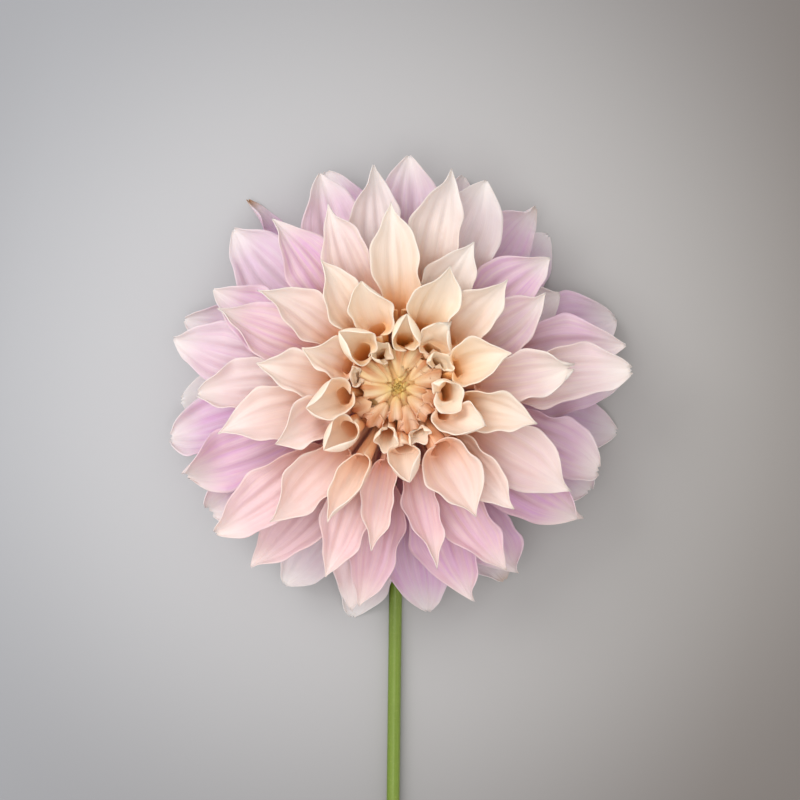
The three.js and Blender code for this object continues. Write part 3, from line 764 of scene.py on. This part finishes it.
def thicken(obj, thickness):
    wall = obj.modifiers.new("thickness", "SOLIDIFY")
    wall.thickness = thickness
    wall.offset = 0
    keep_result(obj)
    obj.data.polygons.foreach_set("use_smooth", [True] * len(obj.data.polygons))


for piece in pieces.values():
    thicken(piece, PETAL_THICKNESS)
print("triangles:", {name: 2 * len(piece.data.polygons) for name, piece in pieces.items()})

# %% [markdown]
# ## The receptacle
# Under the petals sits the receptacle, the fleshy dome that they all grow from. It only shows as
# a warm shade deep between the florets, so a plain turned form is enough.

# %% The receptacle
def turned(name, profile, sides):
    """A closed form turned round the bloom's axis from (radius, height) in mm, foot first."""
    rings = [point for point in profile if point[0] > 0]
    turn = np.arange(sides) * 2 * math.pi / sides
    points = [(AXIS_X + r * MM * math.cos(a), AXIS_Y + r * MM * math.sin(a), z * MM + SURFACE_BELOW)
              for r, z in rings for a in turn]
    foot, top = len(points), len(points) + 1
    points += [(AXIS_X, AXIS_Y, profile[i][1] * MM + SURFACE_BELOW) for i in (0, -1)]
    faces = []
    for ring in range(len(rings) - 1):
        for i in range(sides):
            a, b = ring * sides + i, ring * sides + (i + 1) % sides
            faces.append((a, b, b + sides, a + sides))
    last = (len(rings) - 1) * sides
    for i in range(sides):
        faces.append((foot, (i + 1) % sides, i))
        faces.append((top, last + i, last + (i + 1) % sides))
    mesh = bpy.data.meshes.new(name)
    mesh.from_pydata(points, [], faces)
    mesh.polygons.foreach_set("use_smooth", [True] * len(mesh.polygons))
    return add_object(name, mesh)


TURNED_SIDES = 64
RECEPTACLE = [(0, 0.4), (19.5, 0.4), (21.4, 3), (21, 10), (18, 16), (16.2, 21), (15.8, 27),
              (15.8, 31), (14.6, 34.2), (10, 36), (5, 36), (2, 35.8), (0, 35.6)]
receptacle = turned("receptacle", RECEPTACLE, TURNED_SIDES)
print("receptacle:", len(receptacle.data.polygons), "faces")

# %% [markdown]
# ## The stem
# A fresh dahlia stem is a smooth tube with faint ribs. Its line is straight along the table and
# turns up through a quarter circle under the bloom, so it is a circle swept along that line. The
# ribs belong to the circle that is swept. Each point also keeps how far round and how far along
# it is, because the finish runs lengthwise. The far end is cut at a slant, as with a knife.

# %% The stem
NECK_TURN = 19 * MM               # the radius of the quarter circle under the bloom
NECK_TOP = 23 * MM
STEM_END = 296.45 * MM            # from the bloom's axis to the middle of the cut
SLANT = math.tan(math.radians(30))
SLANT_REACH = 8 * MM
STEM_INPUTS = {
    "Radius": ("NodeSocketFloat", AXIS_HEIGHT - 0.06 * MM),
    "Sides": ("NodeSocketInt", 40),
    "Rib Height": ("NodeSocketFloat", 0.05 * MM),
    "Ribs": ("NodeSocketFloat", 8.0),
    "Material": ("NodeSocketMaterial", None),
}


def stem_route():
    """Points along the middle of the stem, from its cut end to the top of its neck."""
    along = np.linspace(STEM_END, NECK_TURN, 70)
    points = [(-d * STEM_LEAN, -d, AXIS_HEIGHT) for d in along]
    for turn in np.linspace(0, math.pi / 2, 16)[1:]:
        back = NECK_TURN * (1 - math.sin(turn))
        points.append((-back * STEM_LEAN, -back, AXIS_HEIGHT + NECK_TURN * (1 - math.cos(turn))))
    points.append((0, 0, NECK_TOP))
    return [(x + AXIS_X, y + AXIS_Y, z) for x, y, z in points]


def stem_tree():
    tree, given, made = new_tree("stem along its route", STEM_INPUTS)
    size = {label: Field(tree, given.outputs[label]) for label in STEM_INPUTS}
    route = tree.nodes.new("GeometryNodeMeshToCurve")
    connect(tree, route.inputs["Mesh"], given.outputs["Geometry"])
    step = tree.nodes.new("GeometryNodeInputIndex")
    route = store(tree, route.outputs[0], "along", Field(tree, step.outputs[0]) * 1.0)
    circle = tree.nodes.new("GeometryNodeCurvePrimitiveCircle")
    connect(tree, circle.inputs["Resolution"], size["Sides"])
    connect(tree, circle.inputs["Radius"], size["Radius"])
    place = tree.nodes.new("GeometryNodeInputPosition")
    x, y, _ = parts_of(Field(tree, place.outputs[0]))
    around = maths(tree, "ARCTAN2", y, x)
    circle = store(tree, circle.outputs[0], "around", around)
    rib = maths(tree, "COSINE", around * size["Ribs"]) * size["Rib Height"]
    ribbed = tree.nodes.new("GeometryNodeSetPosition")
    connect(tree, ribbed.inputs["Geometry"], circle)
    out = (rib + size["Radius"]) / size["Radius"]
    connect(tree, ribbed.inputs["Position"], vector_of(tree, x * out, y * out, 0.0))
    tube = tree.nodes.new("GeometryNodeCurveToMesh")
    connect(tree, tube.inputs["Curve"], route)
    connect(tree, tube.inputs["Profile Curve"], ribbed.outputs[0])
    tube.inputs["Fill Caps"].default_value = True
    real = tree.nodes.new("GeometryNodeRealizeInstances")
    connect(tree, real.inputs["Geometry"], tube.outputs[0])
    finish = tree.nodes.new("GeometryNodeSetMaterial")
    connect(tree, finish.inputs["Geometry"], real.outputs[0])
    connect(tree, finish.inputs["Material"], size["Material"].socket)
    connect(tree, made.inputs[0], finish.outputs[0])
    return tree


def slant_cut(obj):
    """Shears the last few millimetres of the stem, so that its end face is slanted."""
    points = read_points(obj)
    near = 1 - np.clip((points[:, 1] - (AXIS_Y - STEM_END)) / SLANT_REACH, 0, 1)
    points[:, 1] -= SLANT * (points[:, 2] - AXIS_HEIGHT) * near
    obj.data.vertices.foreach_set("co", points.ravel())
    obj.data.update()


route = stem_route()
line = bpy.data.meshes.new("flower_stem")
line.from_pydata(route, [(i, i + 1) for i in range(len(route) - 1)], [])
flower_stem = add_object("flower_stem", line)
run_tree(flower_stem, stem_tree(), {})
slant_cut(flower_stem)
flower_stem.data.polygons.foreach_set("use_smooth", [True] * len(flower_stem.data.polygons))

# %% [markdown]
# ## The calyx
# Behind the petals the stem widens into a cup, with two rings of small green bracts. The inner
# ones are thin and press against the petals' backs, the outer ones are narrow and bend away.
# They follow the same tree as the petals: a bract is a short, almost flat petal.

# %% The calyx
CUP = [(0, -9.7), (3.6, -9.7), (4.4, -9.3), (6.5, -8), (11, -5), (15.5, -2), (17.5, 0.1), (0, 0.2)]
INNER_BRACTS = {"count": 8, "first": 0.3, "root": 12, "reach": 31, "from": -3.6, "to": -7.5,
                "half": 7.0, "sag": 1}
OUTER_BRACTS = {"count": 6, "first": 0.8, "root": 5.5, "reach": 27, "from": -8, "to": -15,
                "half": 4.6, "sag": 2}
BRACT_THICKNESS = 0.7 * MM


def bract_shape(ring, index):
    """One bract as the petal tree takes it."""
    shape = {name: 0.0 for name in FLOATS}
    root = np.array([ring["root"], ring["from"]])
    tip = np.array([ring["reach"], ring["to"]])
    step = tip - root
    drop = np.array([0, -ring["sag"] * 4 / 3])
    for number, corner in enumerate([root, root + step / 3 + drop, root + step * 2 / 3 + drop, tip]):
        shape[f"rib_{number}"] = (corner[0] * MM, 0.0, corner[1] * MM)
    shape.update({"half": ring["half"] * MM, "throat": math.radians(34), "blade": math.radians(26),
                  "shut": 0.1, "spread": 0.9, "widest": 0.42, "petal": 100.0 + index,
                  "azimuth": 2 * math.pi * index / ring["count"] + ring["first"]})
    return shape


cup = turned("calyx_cup", CUP, TURNED_SIDES)
bracts = seeds("bracts", [bract_shape(ring, index) for ring in (INNER_BRACTS, OUTER_BRACTS)
                          for index in range(ring["count"])])
run_tree(bracts, PETAL_TREE, {"Rows": 24, "Columns": 10, "Claw": 0.45, "Wave": 0.5 * MM,
                              "Unevenness": 0.8 * MM, "Ridge Height": 0.5 * MM, "Point": 1.2})
thicken(bracts, BRACT_THICKNESS)
print("calyx:", len(cup.data.polygons), "faces of the cup,", len(bracts.data.polygons), "of bracts")

# %% [markdown]
# ## Colours, and effects that several finishes share
# A petal's finish is made of a few effects: fine veins and broad streaks that run lengthwise,
# and cloudy patches. Florets and bracts need the same, with other sizes, so each effect is a
# node group of its own. The groups read the blade's own u and v, so that the veins follow it.

# %% Colours, and effects that several finishes share
def paint(r, g, b):
    """An sRGB colour of 0 to 255 as the linear colour that a shader takes."""
    return (*[((c / 255 + 0.055) / 1.055) ** 2.4 for c in (r, g, b)], 1.0)


def attribute(tree, name):
    node = tree.nodes.new("ShaderNodeAttribute")
    node.attribute_name = name
    return Field(tree, node.outputs["Fac"])


def ramp(field, stops):
    """A colour that changes with a field, from a list of (place, colour)."""
    node = field.tree.nodes.new("ShaderNodeValToRGB")
    connect(field.tree, node.inputs[0], field)
    elements = node.color_ramp.elements
    while len(elements) < len(stops):
        elements.new(0.5)
    for element, (place, colour) in zip(elements, stops):
        element.position = place
        element.color = paint(*colour)
    return node.outputs[0]


def mixed(tree, share, first, second):
    node = tree.nodes.new("ShaderNodeMix")
    node.data_type = "RGBA"
    connect(tree, node.inputs[0], share)
    connect(tree, node.inputs[6], first)
    connect(tree, node.inputs[7], second)
    return node.outputs[2]


def effect_group(name, inputs, outputs):
    """An empty shader node group with named inputs and outputs."""
    tree = bpy.data.node_groups.new(name, "ShaderNodeTree")
    for label, value in inputs.items():
        kind = "NodeSocketVector" if value is None else "NodeSocketFloat"
        socket = tree.interface.new_socket(label, in_out="INPUT", socket_type=kind)
        if value is not None:
            socket.default_value = value
    for label in outputs:
        tree.interface.new_socket(label, in_out="OUTPUT", socket_type="NodeSocketFloat")
    given = tree.nodes.new("NodeGroupInput")
    made = tree.nodes.new("NodeGroupOutput")
    return tree, {label: Field(tree, given.outputs[label]) for label in inputs}, made


def veins_group():
    tree, given, made = effect_group(
        "lengthwise veins",
        {"U": 0.0, "V": 0.0, "Petal": 0.0, "Fine Count": 42.0, "Broad Count": 8.0},
        ["Fine", "Broad"])
    u, v, petal = given["U"], given["V"], given["Petal"]
    place = vector_of(tree, u * 2.4, v * given["Fine Count"] + petal * 5.9, petal)
    fine = noise(tree, place, 1.0)
    place = vector_of(tree, u * 1.5, v * given["Broad Count"] + petal * 7.3, petal * 2.9)
    broad = noise(tree, place, 3.0)
    connect(tree, made.inputs["Fine"], remap(fine, -0.25, 0.6))
    connect(tree, made.inputs["Broad"], remap(broad, -0.2, 0.55))
    return tree


def mottling_group():
    tree, given, made = effect_group(
        "mottling", {"Place": None, "Coarse": 90.0, "Fine": 900.0}, ["Patches", "Specks"])
    for label, scale, low, high in (("Patches", "Coarse", -0.5, 0.5), ("Specks", "Fine", 0.1, 0.6)):
        field = noise(tree, given["Place"], 3.0, given[scale])
        connect(tree, made.inputs[label], remap(field, low, high))
    return tree


VEINS = veins_group()
MOTTLING = mottling_group()
print("shared effects:", VEINS.name, "and", MOTTLING.name)


def effect(tree, group, values):
    """Places a node group in a material and returns its outputs by name."""
    node = tree.nodes.new("ShaderNodeGroup")
    node.node_tree = group
    for label, value in values.items():
        connect(tree, node.inputs[label], value)
    return {socket.name: Field(tree, socket) for socket in node.outputs}


def new_finish(name):
    material = bpy.data.materials.new(name)
    material.use_nodes = True
    tree = material.node_tree
    return material, tree, tree.nodes["Principled BSDF"]


def layered(tree, colour, *coats):
    """Lays thin coats over a colour, each given as its share and its sRGB colour."""
    for share, coat in coats:
        colour = mixed(tree, share, colour, paint(*coat))
    return colour


def soften(shader, weight, scale):
    """Lets light pass some way through, as it does in thin petals and fresh stems."""
    shader.inputs["Subsurface Weight"].default_value = weight
    shader.inputs["Subsurface Radius"].default_value = (1.0, 0.75, 0.6)
    shader.inputs["Subsurface Scale"].default_value = scale


def raise_by(tree, shader, height, strength, distance):
    bump = tree.nodes.new("ShaderNodeBump")
    bump.inputs["Strength"].default_value = strength
    bump.inputs["Distance"].default_value = distance
    connect(tree, bump.inputs["Height"], height)
    connect(tree, shader.inputs["Normal"], bump.outputs[0])


def place_of(tree):
    return Field(tree, tree.nodes.new("ShaderNodeTexCoord").outputs["Object"])


# %% [markdown]
# ## The petals' finish
# Every petal goes from a deep throat through its body to a pale end. Near the heart that is
# golden brown, peach and cream, and further out it turns to blush and lilac with fine streaks.
# The inner petals have a pale rim too, partly their own paler margin and partly a painted
# highlight on the turned-back lip. Petals differ in how strongly they are flushed with lilac,
# those on the low side of the bloom are pinker, and withered tips are brown.

# %% The petals' finish
def petal_finish():
    material, tree, shader = new_finish("petal")
    u, v, petal, wither = (attribute(tree, name) for name in ("u", "v", "petal", "wither"))
    edge = maths(tree, "ABSOLUTE", v)
    x, y, _ = parts_of(place_of(tree))
    low = remap(y - AXIS_Y + (x - AXIS_X) * 0.2, 0.02, -0.08)
    row = remap(petal, 0.0, 79.0)
    throat = ramp(row, [(0.0, (216, 130, 46)), (0.2, (240, 166, 88)), (0.4, (246, 182, 126)),
                        (0.6, (240, 174, 150)), (1.0, (220, 144, 172))])
    body = ramp(row, [(0.0, (250, 204, 150)), (0.2, (245, 208, 166)), (0.4, (234, 202, 174)),
                      (0.6, (226, 194, 186)), (0.8, (217, 184, 195)), (1.0, (205, 168, 186))])
    end = ramp(row, [(0.0, (250, 228, 198)), (0.3, (240, 221, 204)), (0.55, (234, 213, 208)),
                     (0.8, (221, 199, 207)), (1.0, (210, 187, 198))])
    flush = attribute(tree, "flush")
    paler = (1 - flush) * remap(row, 0.25, 0.6) * 0.65
    body = mixed(tree, paler, body, paint(236, 222, 211))
    end = mixed(tree, paler, end, paint(238, 230, 225))
    cloud = noise(tree, vector_of(tree, u * 3, v * 1.5 + petal * 3.1, petal * 1.7))
    s = u + cloud * 0.08
    opening = remap(row, 0.1, 0.5)
    colour = mixed(tree, remap(s - (1 - opening) * 0.16, 0.26, 0.6), throat, body)
    colour = mixed(tree, remap(s, 0.5, 0.95), colour, end)
    veins = effect(tree, VEINS, {"U": u, "V": v, "Petal": petal})
    pinker = low * remap(row, 0.0, 0.3, 0.6, 1.0) * remap(row, 0.85, 0.6)
    blush = remap(row, 0.1, 0.5) * remap(u, 1.0, 0.8) * remap(u, 0.15, 0.5) * flush * flush
    lines = veins["Fine"] * remap(row, 0.05, 0.5) * (0.12 + flush * 0.16)
    colour = layered(tree, colour,
                     (pinker * 0.6, (240, 190, 188)),
                     (blush * (veins["Broad"] * 0.65 + 0.35), (214, 156, 206)),
                     (lines, (198, 118, 170)))
    # Pale rim: partly the petals' own paler margin, partly a painted highlight on the turned-back
    # lip.
    rim_and_highlight = remap(edge + cloud * 0.05, 0.82, 0.96) * remap(u, 0.35, 0.6) * remap(row, 0.5, 0.1, 0.15)
    rim_highlight_colour = mixed(tree, remap(row, 0.0, 0.2), paint(255, 232, 206), paint(253, 240, 224))
    colour = layered(tree, mixed(tree, rim_and_highlight * 0.4, colour, rim_highlight_colour),
                     (remap(u, 0.84, 1.0) * remap(row, 0.05, 0.4) * 0.5, (240, 234, 222)),
                     (remap(u, 0.95, 1.0) * wither, (150, 104, 60)))
    connect(tree, shader.inputs["Base Color"], colour)
    connect(tree, shader.inputs["Roughness"], 0.46 + veins["Broad"] * 0.12)
    soften(shader, 0.35, 3 * MM)
    raise_by(tree, shader, veins["Fine"] * 0.6 + veins["Broad"], 0.3, 0.3 * MM)
    return material


PETAL_FINISH = petal_finish()
print("petal finish:", len(PETAL_FINISH.node_tree.nodes), "nodes")

# %% [markdown]
# ## The florets' finish
# The closed florets are pale along their crests and orange-brown in the grooves between: their
# own deeper colour, darkened with painted shade in the grooves and low down among the florets.
# Those on the upper left are creamier, those on the lower right pinker. The small ones that
# stand in the middle form a yellow star with a few brown specks.

# %% The florets' finish
def floret_finish():
    material, tree, shader = new_finish("floret")
    u, v, petal, crest = (attribute(tree, name) for name in ("u", "v", "petal", "crest"))
    place = place_of(tree)
    x, y, z = parts_of(place)
    out_x, out_y = x - AXIS_X, y - AXIS_Y
    out = maths(tree, "SQRT", out_x * out_x + out_y * out_y)
    veins = effect(tree, VEINS, {"U": u, "V": v, "Petal": petal, "Fine Count": 30.0})
    mottle = effect(tree, MOTTLING, {"Place": place, "Coarse": 260.0, "Fine": 1500.0})
    body = ramp(remap(out, 0.0, 0.024), [
        (0.0, (255, 228, 106)), (0.14, (252, 218, 122)), (0.3, (249, 208, 146)),
        (0.55, (247, 204, 166)), (0.8, (246, 194, 158)), (1.0, (242, 174, 130))])
    side = remap(out_x * 0.4 - out_y, -0.014, 0.014)
    body = layered(tree, body,
                   ((1 - side) * 0.4, (252, 224, 150)),
                   (side * remap(out, 0.003, 0.01) * 0.35, (236, 164, 140)))
    # Grooves: the florets' deeper colour, darkened further with painted shade between the crests.
    groove_shade_colour = ramp(remap(out, 0.0, 0.024), [
        (0.0, (200, 130, 44)), (0.3, (214, 128, 62)), (1.0, (188, 102, 56))])
    painted_groove_shade = remap(crest, 0.35, -0.5)
    colour = layered(tree, mixed(tree, painted_groove_shade * 0.9, body, groove_shade_colour),
                     (veins["Fine"] * 0.25, (214, 150, 84)),
                     # Painted shade: florets darken to orange-brown low down, deep among the others.
                     (remap(z, 0.068, 0.054), (198, 118, 42)),
                     (mottle["Specks"] * remap(out, 0.004, 0.001) * 0.4, (124, 78, 30)),
                     (mottle["Patches"] * 0.15, (255, 240, 205)))
    connect(tree, shader.inputs["Base Color"], colour)
    connect(tree, shader.inputs["Roughness"], 0.48 + veins["Broad"] * 0.12)
    soften(shader, 0.35, 3 * MM)
    raise_by(tree, shader, veins["Fine"] + mottle["Patches"] * 0.4, 0.3, 0.3 * MM)
    return material


FLORET_FINISH = floret_finish()
print("floret finish:", len(FLORET_FINISH.node_tree.nodes), "nodes")

# %% [markdown]
# ## The green parts' finish
# Stem and bracts are a fresh yellow-green. The stem has fine lengthwise lines and a darker side,
# the bracts have veins, paler margins and dry tips. Both carry a faint mottling. The receptacle
# is a dark olive green low down, which is painted shade under the petals, and turns to a warm
# straw colour where it shows between the florets.

# %% The green parts' finish
def stem_finish():
    material, tree, shader = new_finish("stem")
    around, along = attribute(tree, "around"), attribute(tree, "along")
    place = place_of(tree)
    lines = effect(tree, VEINS, {"U": along * 0.04, "V": around, "Fine Count": 9.0,
                                 "Broad Count": 1.6})
    mottle = effect(tree, MOTTLING, {"Place": place})
    x, y, _ = parts_of(place)
    side = remap(x - AXIS_X - (y - AXIS_Y) * STEM_LEAN, -3 * MM, 3 * MM)
    colour = layered(tree, paint(102, 126, 24),
                     (side, (124, 150, 48)),
                     (lines["Fine"] * 0.35, (94, 118, 36)),
                     (lines["Broad"] * 0.3, (150, 168, 84)),
                     (mottle["Patches"] * 0.2, (108, 118, 44)),
                     (mottle["Specks"] * 0.2, (172, 180, 108)))
    connect(tree, shader.inputs["Base Color"], colour)
    connect(tree, shader.inputs["Roughness"], 0.38 + mottle["Patches"] * 0.12)
    soften(shader, 0.25, 2 * MM)
    raise_by(tree, shader, lines["Fine"] + mottle["Specks"] * 0.3, 0.25, 0.15 * MM)
    return material


def bract_finish():
    material, tree, shader = new_finish("bract")
    u, v, petal = (attribute(tree, name) for name in ("u", "v", "petal"))
    place = place_of(tree)
    veins = effect(tree, VEINS, {"U": u, "V": v, "Petal": petal, "Fine Count": 16.0})
    mottle = effect(tree, MOTTLING, {"Place": place, "Coarse": 160.0})
    edge = maths(tree, "ABSOLUTE", v)
    colour = layered(tree, paint(112, 134, 58),
                     (mottle["Patches"], (138, 158, 78)),
                     (veins["Fine"] * 0.4, (162, 178, 104)),
                     (remap(edge, 0.75, 1.0) * 0.5, (190, 198, 136)),
                     (remap(u, 0.85, 1.0) * 0.5, (150, 120, 78)))
    connect(tree, shader.inputs["Base Color"], colour)
    connect(tree, shader.inputs["Roughness"], 0.5 + mottle["Patches"] * 0.1)
    soften(shader, 0.3, 2 * MM)
    raise_by(tree, shader, veins["Fine"] + mottle["Patches"] * 0.5, 0.3, 0.25 * MM)
    return material


def receptacle_finish():
    material, tree, shader = new_finish("receptacle")
    place = place_of(tree)
    mottle = effect(tree, MOTTLING, {"Place": place, "Coarse": 220.0})
    z = parts_of(place)[2]
    # Painted shade: the receptacle is a dark olive low down under the petals, paler straw higher up
    # where it shows between the florets.
    colour = layered(tree, paint(170, 140, 72),
                     (remap(z, 0.04, 0.062), (226, 184, 120)),
                     (mottle["Patches"] * 0.3, (190, 136, 76)))
    connect(tree, shader.inputs["Base Color"], colour)
    connect(tree, shader.inputs["Roughness"], 0.6 + mottle["Specks"] * 0.1)
    raise_by(tree, shader, mottle["Patches"], 0.3, 0.4 * MM)
    return material


STEM_FINISH = stem_finish()
BRACT_FINISH = bract_finish()
RECEPTACLE_FINISH = receptacle_finish()
print("green parts' finishes:", STEM_FINISH.name, BRACT_FINISH.name, RECEPTACLE_FINISH.name)

# %% [markdown]
# ## Finishes and frame
# Each piece gets its finish. Then it takes the place of the plain solid that it was made after,
# and rides on the flower's only body.

# %% Finishes and frame
FINISHED = {
    "heart": (FLORET_FINISH, "florets", "heart_florets"),
    "receptacle": (RECEPTACLE_FINISH, "petals", "ray_petals"),
    "flower_stem": (STEM_FINISH, "stem", "stem"),
    "calyx_cup": (BRACT_FINISH, "bracts", "calyx"),
    "bracts": (BRACT_FINISH, "bracts", "calyx"),
}
for name in ("trumpets", "cupped_petals", "open_petals", "outer_petals"):
    FINISHED[name] = (PETAL_FINISH, "petals", "ray_petals")
for name, (material, slot, node) in FINISHED.items():
    piece = bpy.data.objects[name]
    piece.data.materials.clear()
    piece.data.materials.append(material)
    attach(piece, "root")
    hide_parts(node)
print("finished:", sorted(FINISHED))

# %% [markdown]
# ## Table, light and camera
# The flower lies on a matt grey table, painted lighter and cooler on the side of the window and
# darker and warmer away from it, as painted light that falls off from the window. A table goes
# dark close under a large bloom, so it's painted paler there as painted light that hides the
# bloom's shadow, and the ground behind the petals stays even. One large lamp stands in for a
# window on the left, and a second one and the room fill the shadows. The camera looks straight
# down on the bloom.

# %% Table, light and camera
bpy.ops.mesh.primitive_plane_add(size=6)
table = bpy.context.object
table.name = "table"
table_finish, table_tree, table_shader = new_finish("table")
table_x, table_y, _ = parts_of(place_of(table_tree))
table_y = table_y - AXIS_Y
# Painted light: the table is lighter and cooler towards the window, darker and warmer away from it.
painted_window_falloff = remap(table_x - table_y * 0.15, -0.2, 0.2)
away = maths(table_tree, "SQRT", table_x * table_x + table_y * table_y)
# Painted light: the table is painted paler close round the bloom, to hide the bloom's shadow there.
painted_light_near_bloom = remap(away, 0.08, 0.3, 0.65, 0.0, "SMOOTHSTEP")
ground_with_painted_falloff = mixed(table_tree, painted_window_falloff, paint(148, 149, 153), paint(116, 110, 106))
painted_lit_ground = mixed(table_tree, painted_window_falloff, paint(214, 215, 218), paint(194, 191, 188))
table_colour = mixed(table_tree, painted_light_near_bloom, ground_with_painted_falloff, painted_lit_ground)
connect(table_tree, table_shader.inputs["Base Color"], table_colour)
table_shader.inputs["Roughness"].default_value = 0.7
table.data.materials.append(table_finish)

LAMP_SIZE = 1.2


def soft_light(name, place, watts):
    """A square lamp that faces the foot of the bloom."""
    light = bpy.data.lights.new(name, "AREA")
    light.size = LAMP_SIZE
    light.energy = watts
    obj = add_object(name, light)
    obj.location = place
    aim = Vector((AXIS_X, AXIS_Y, 0)) - Vector(place)
    obj.rotation_euler = aim.to_track_quat("-Z", "Y").to_euler()


soft_light("window", (-1.2, 0.8 + AXIS_Y, 1.4), 18.5)
soft_light("fill", (-0.2, -0.3 + AXIS_Y, 1.7), 9.8)
world = bpy.data.worlds.new("room")
scene.world = world
world.use_nodes = True
room_light = world.node_tree.nodes["Background"]
room_light.inputs["Color"].default_value = (1.0, 0.985, 0.97, 1)
room_light.inputs["Strength"].default_value = 0.7
scene.view_settings.view_transform = "Standard"

CAMERA_HEIGHT = 1.033
camera_data = bpy.data.cameras.new("camera")
camera = add_object("camera", camera_data)
camera_data.sensor_width = 36
camera_data.lens = 90
camera.location = (AXIS_X + 1 * MM, AXIS_Y - 6 * MM, CAMERA_HEIGHT)
scene.camera = camera
print("camera at", [round(part, 3) for part in camera.location])
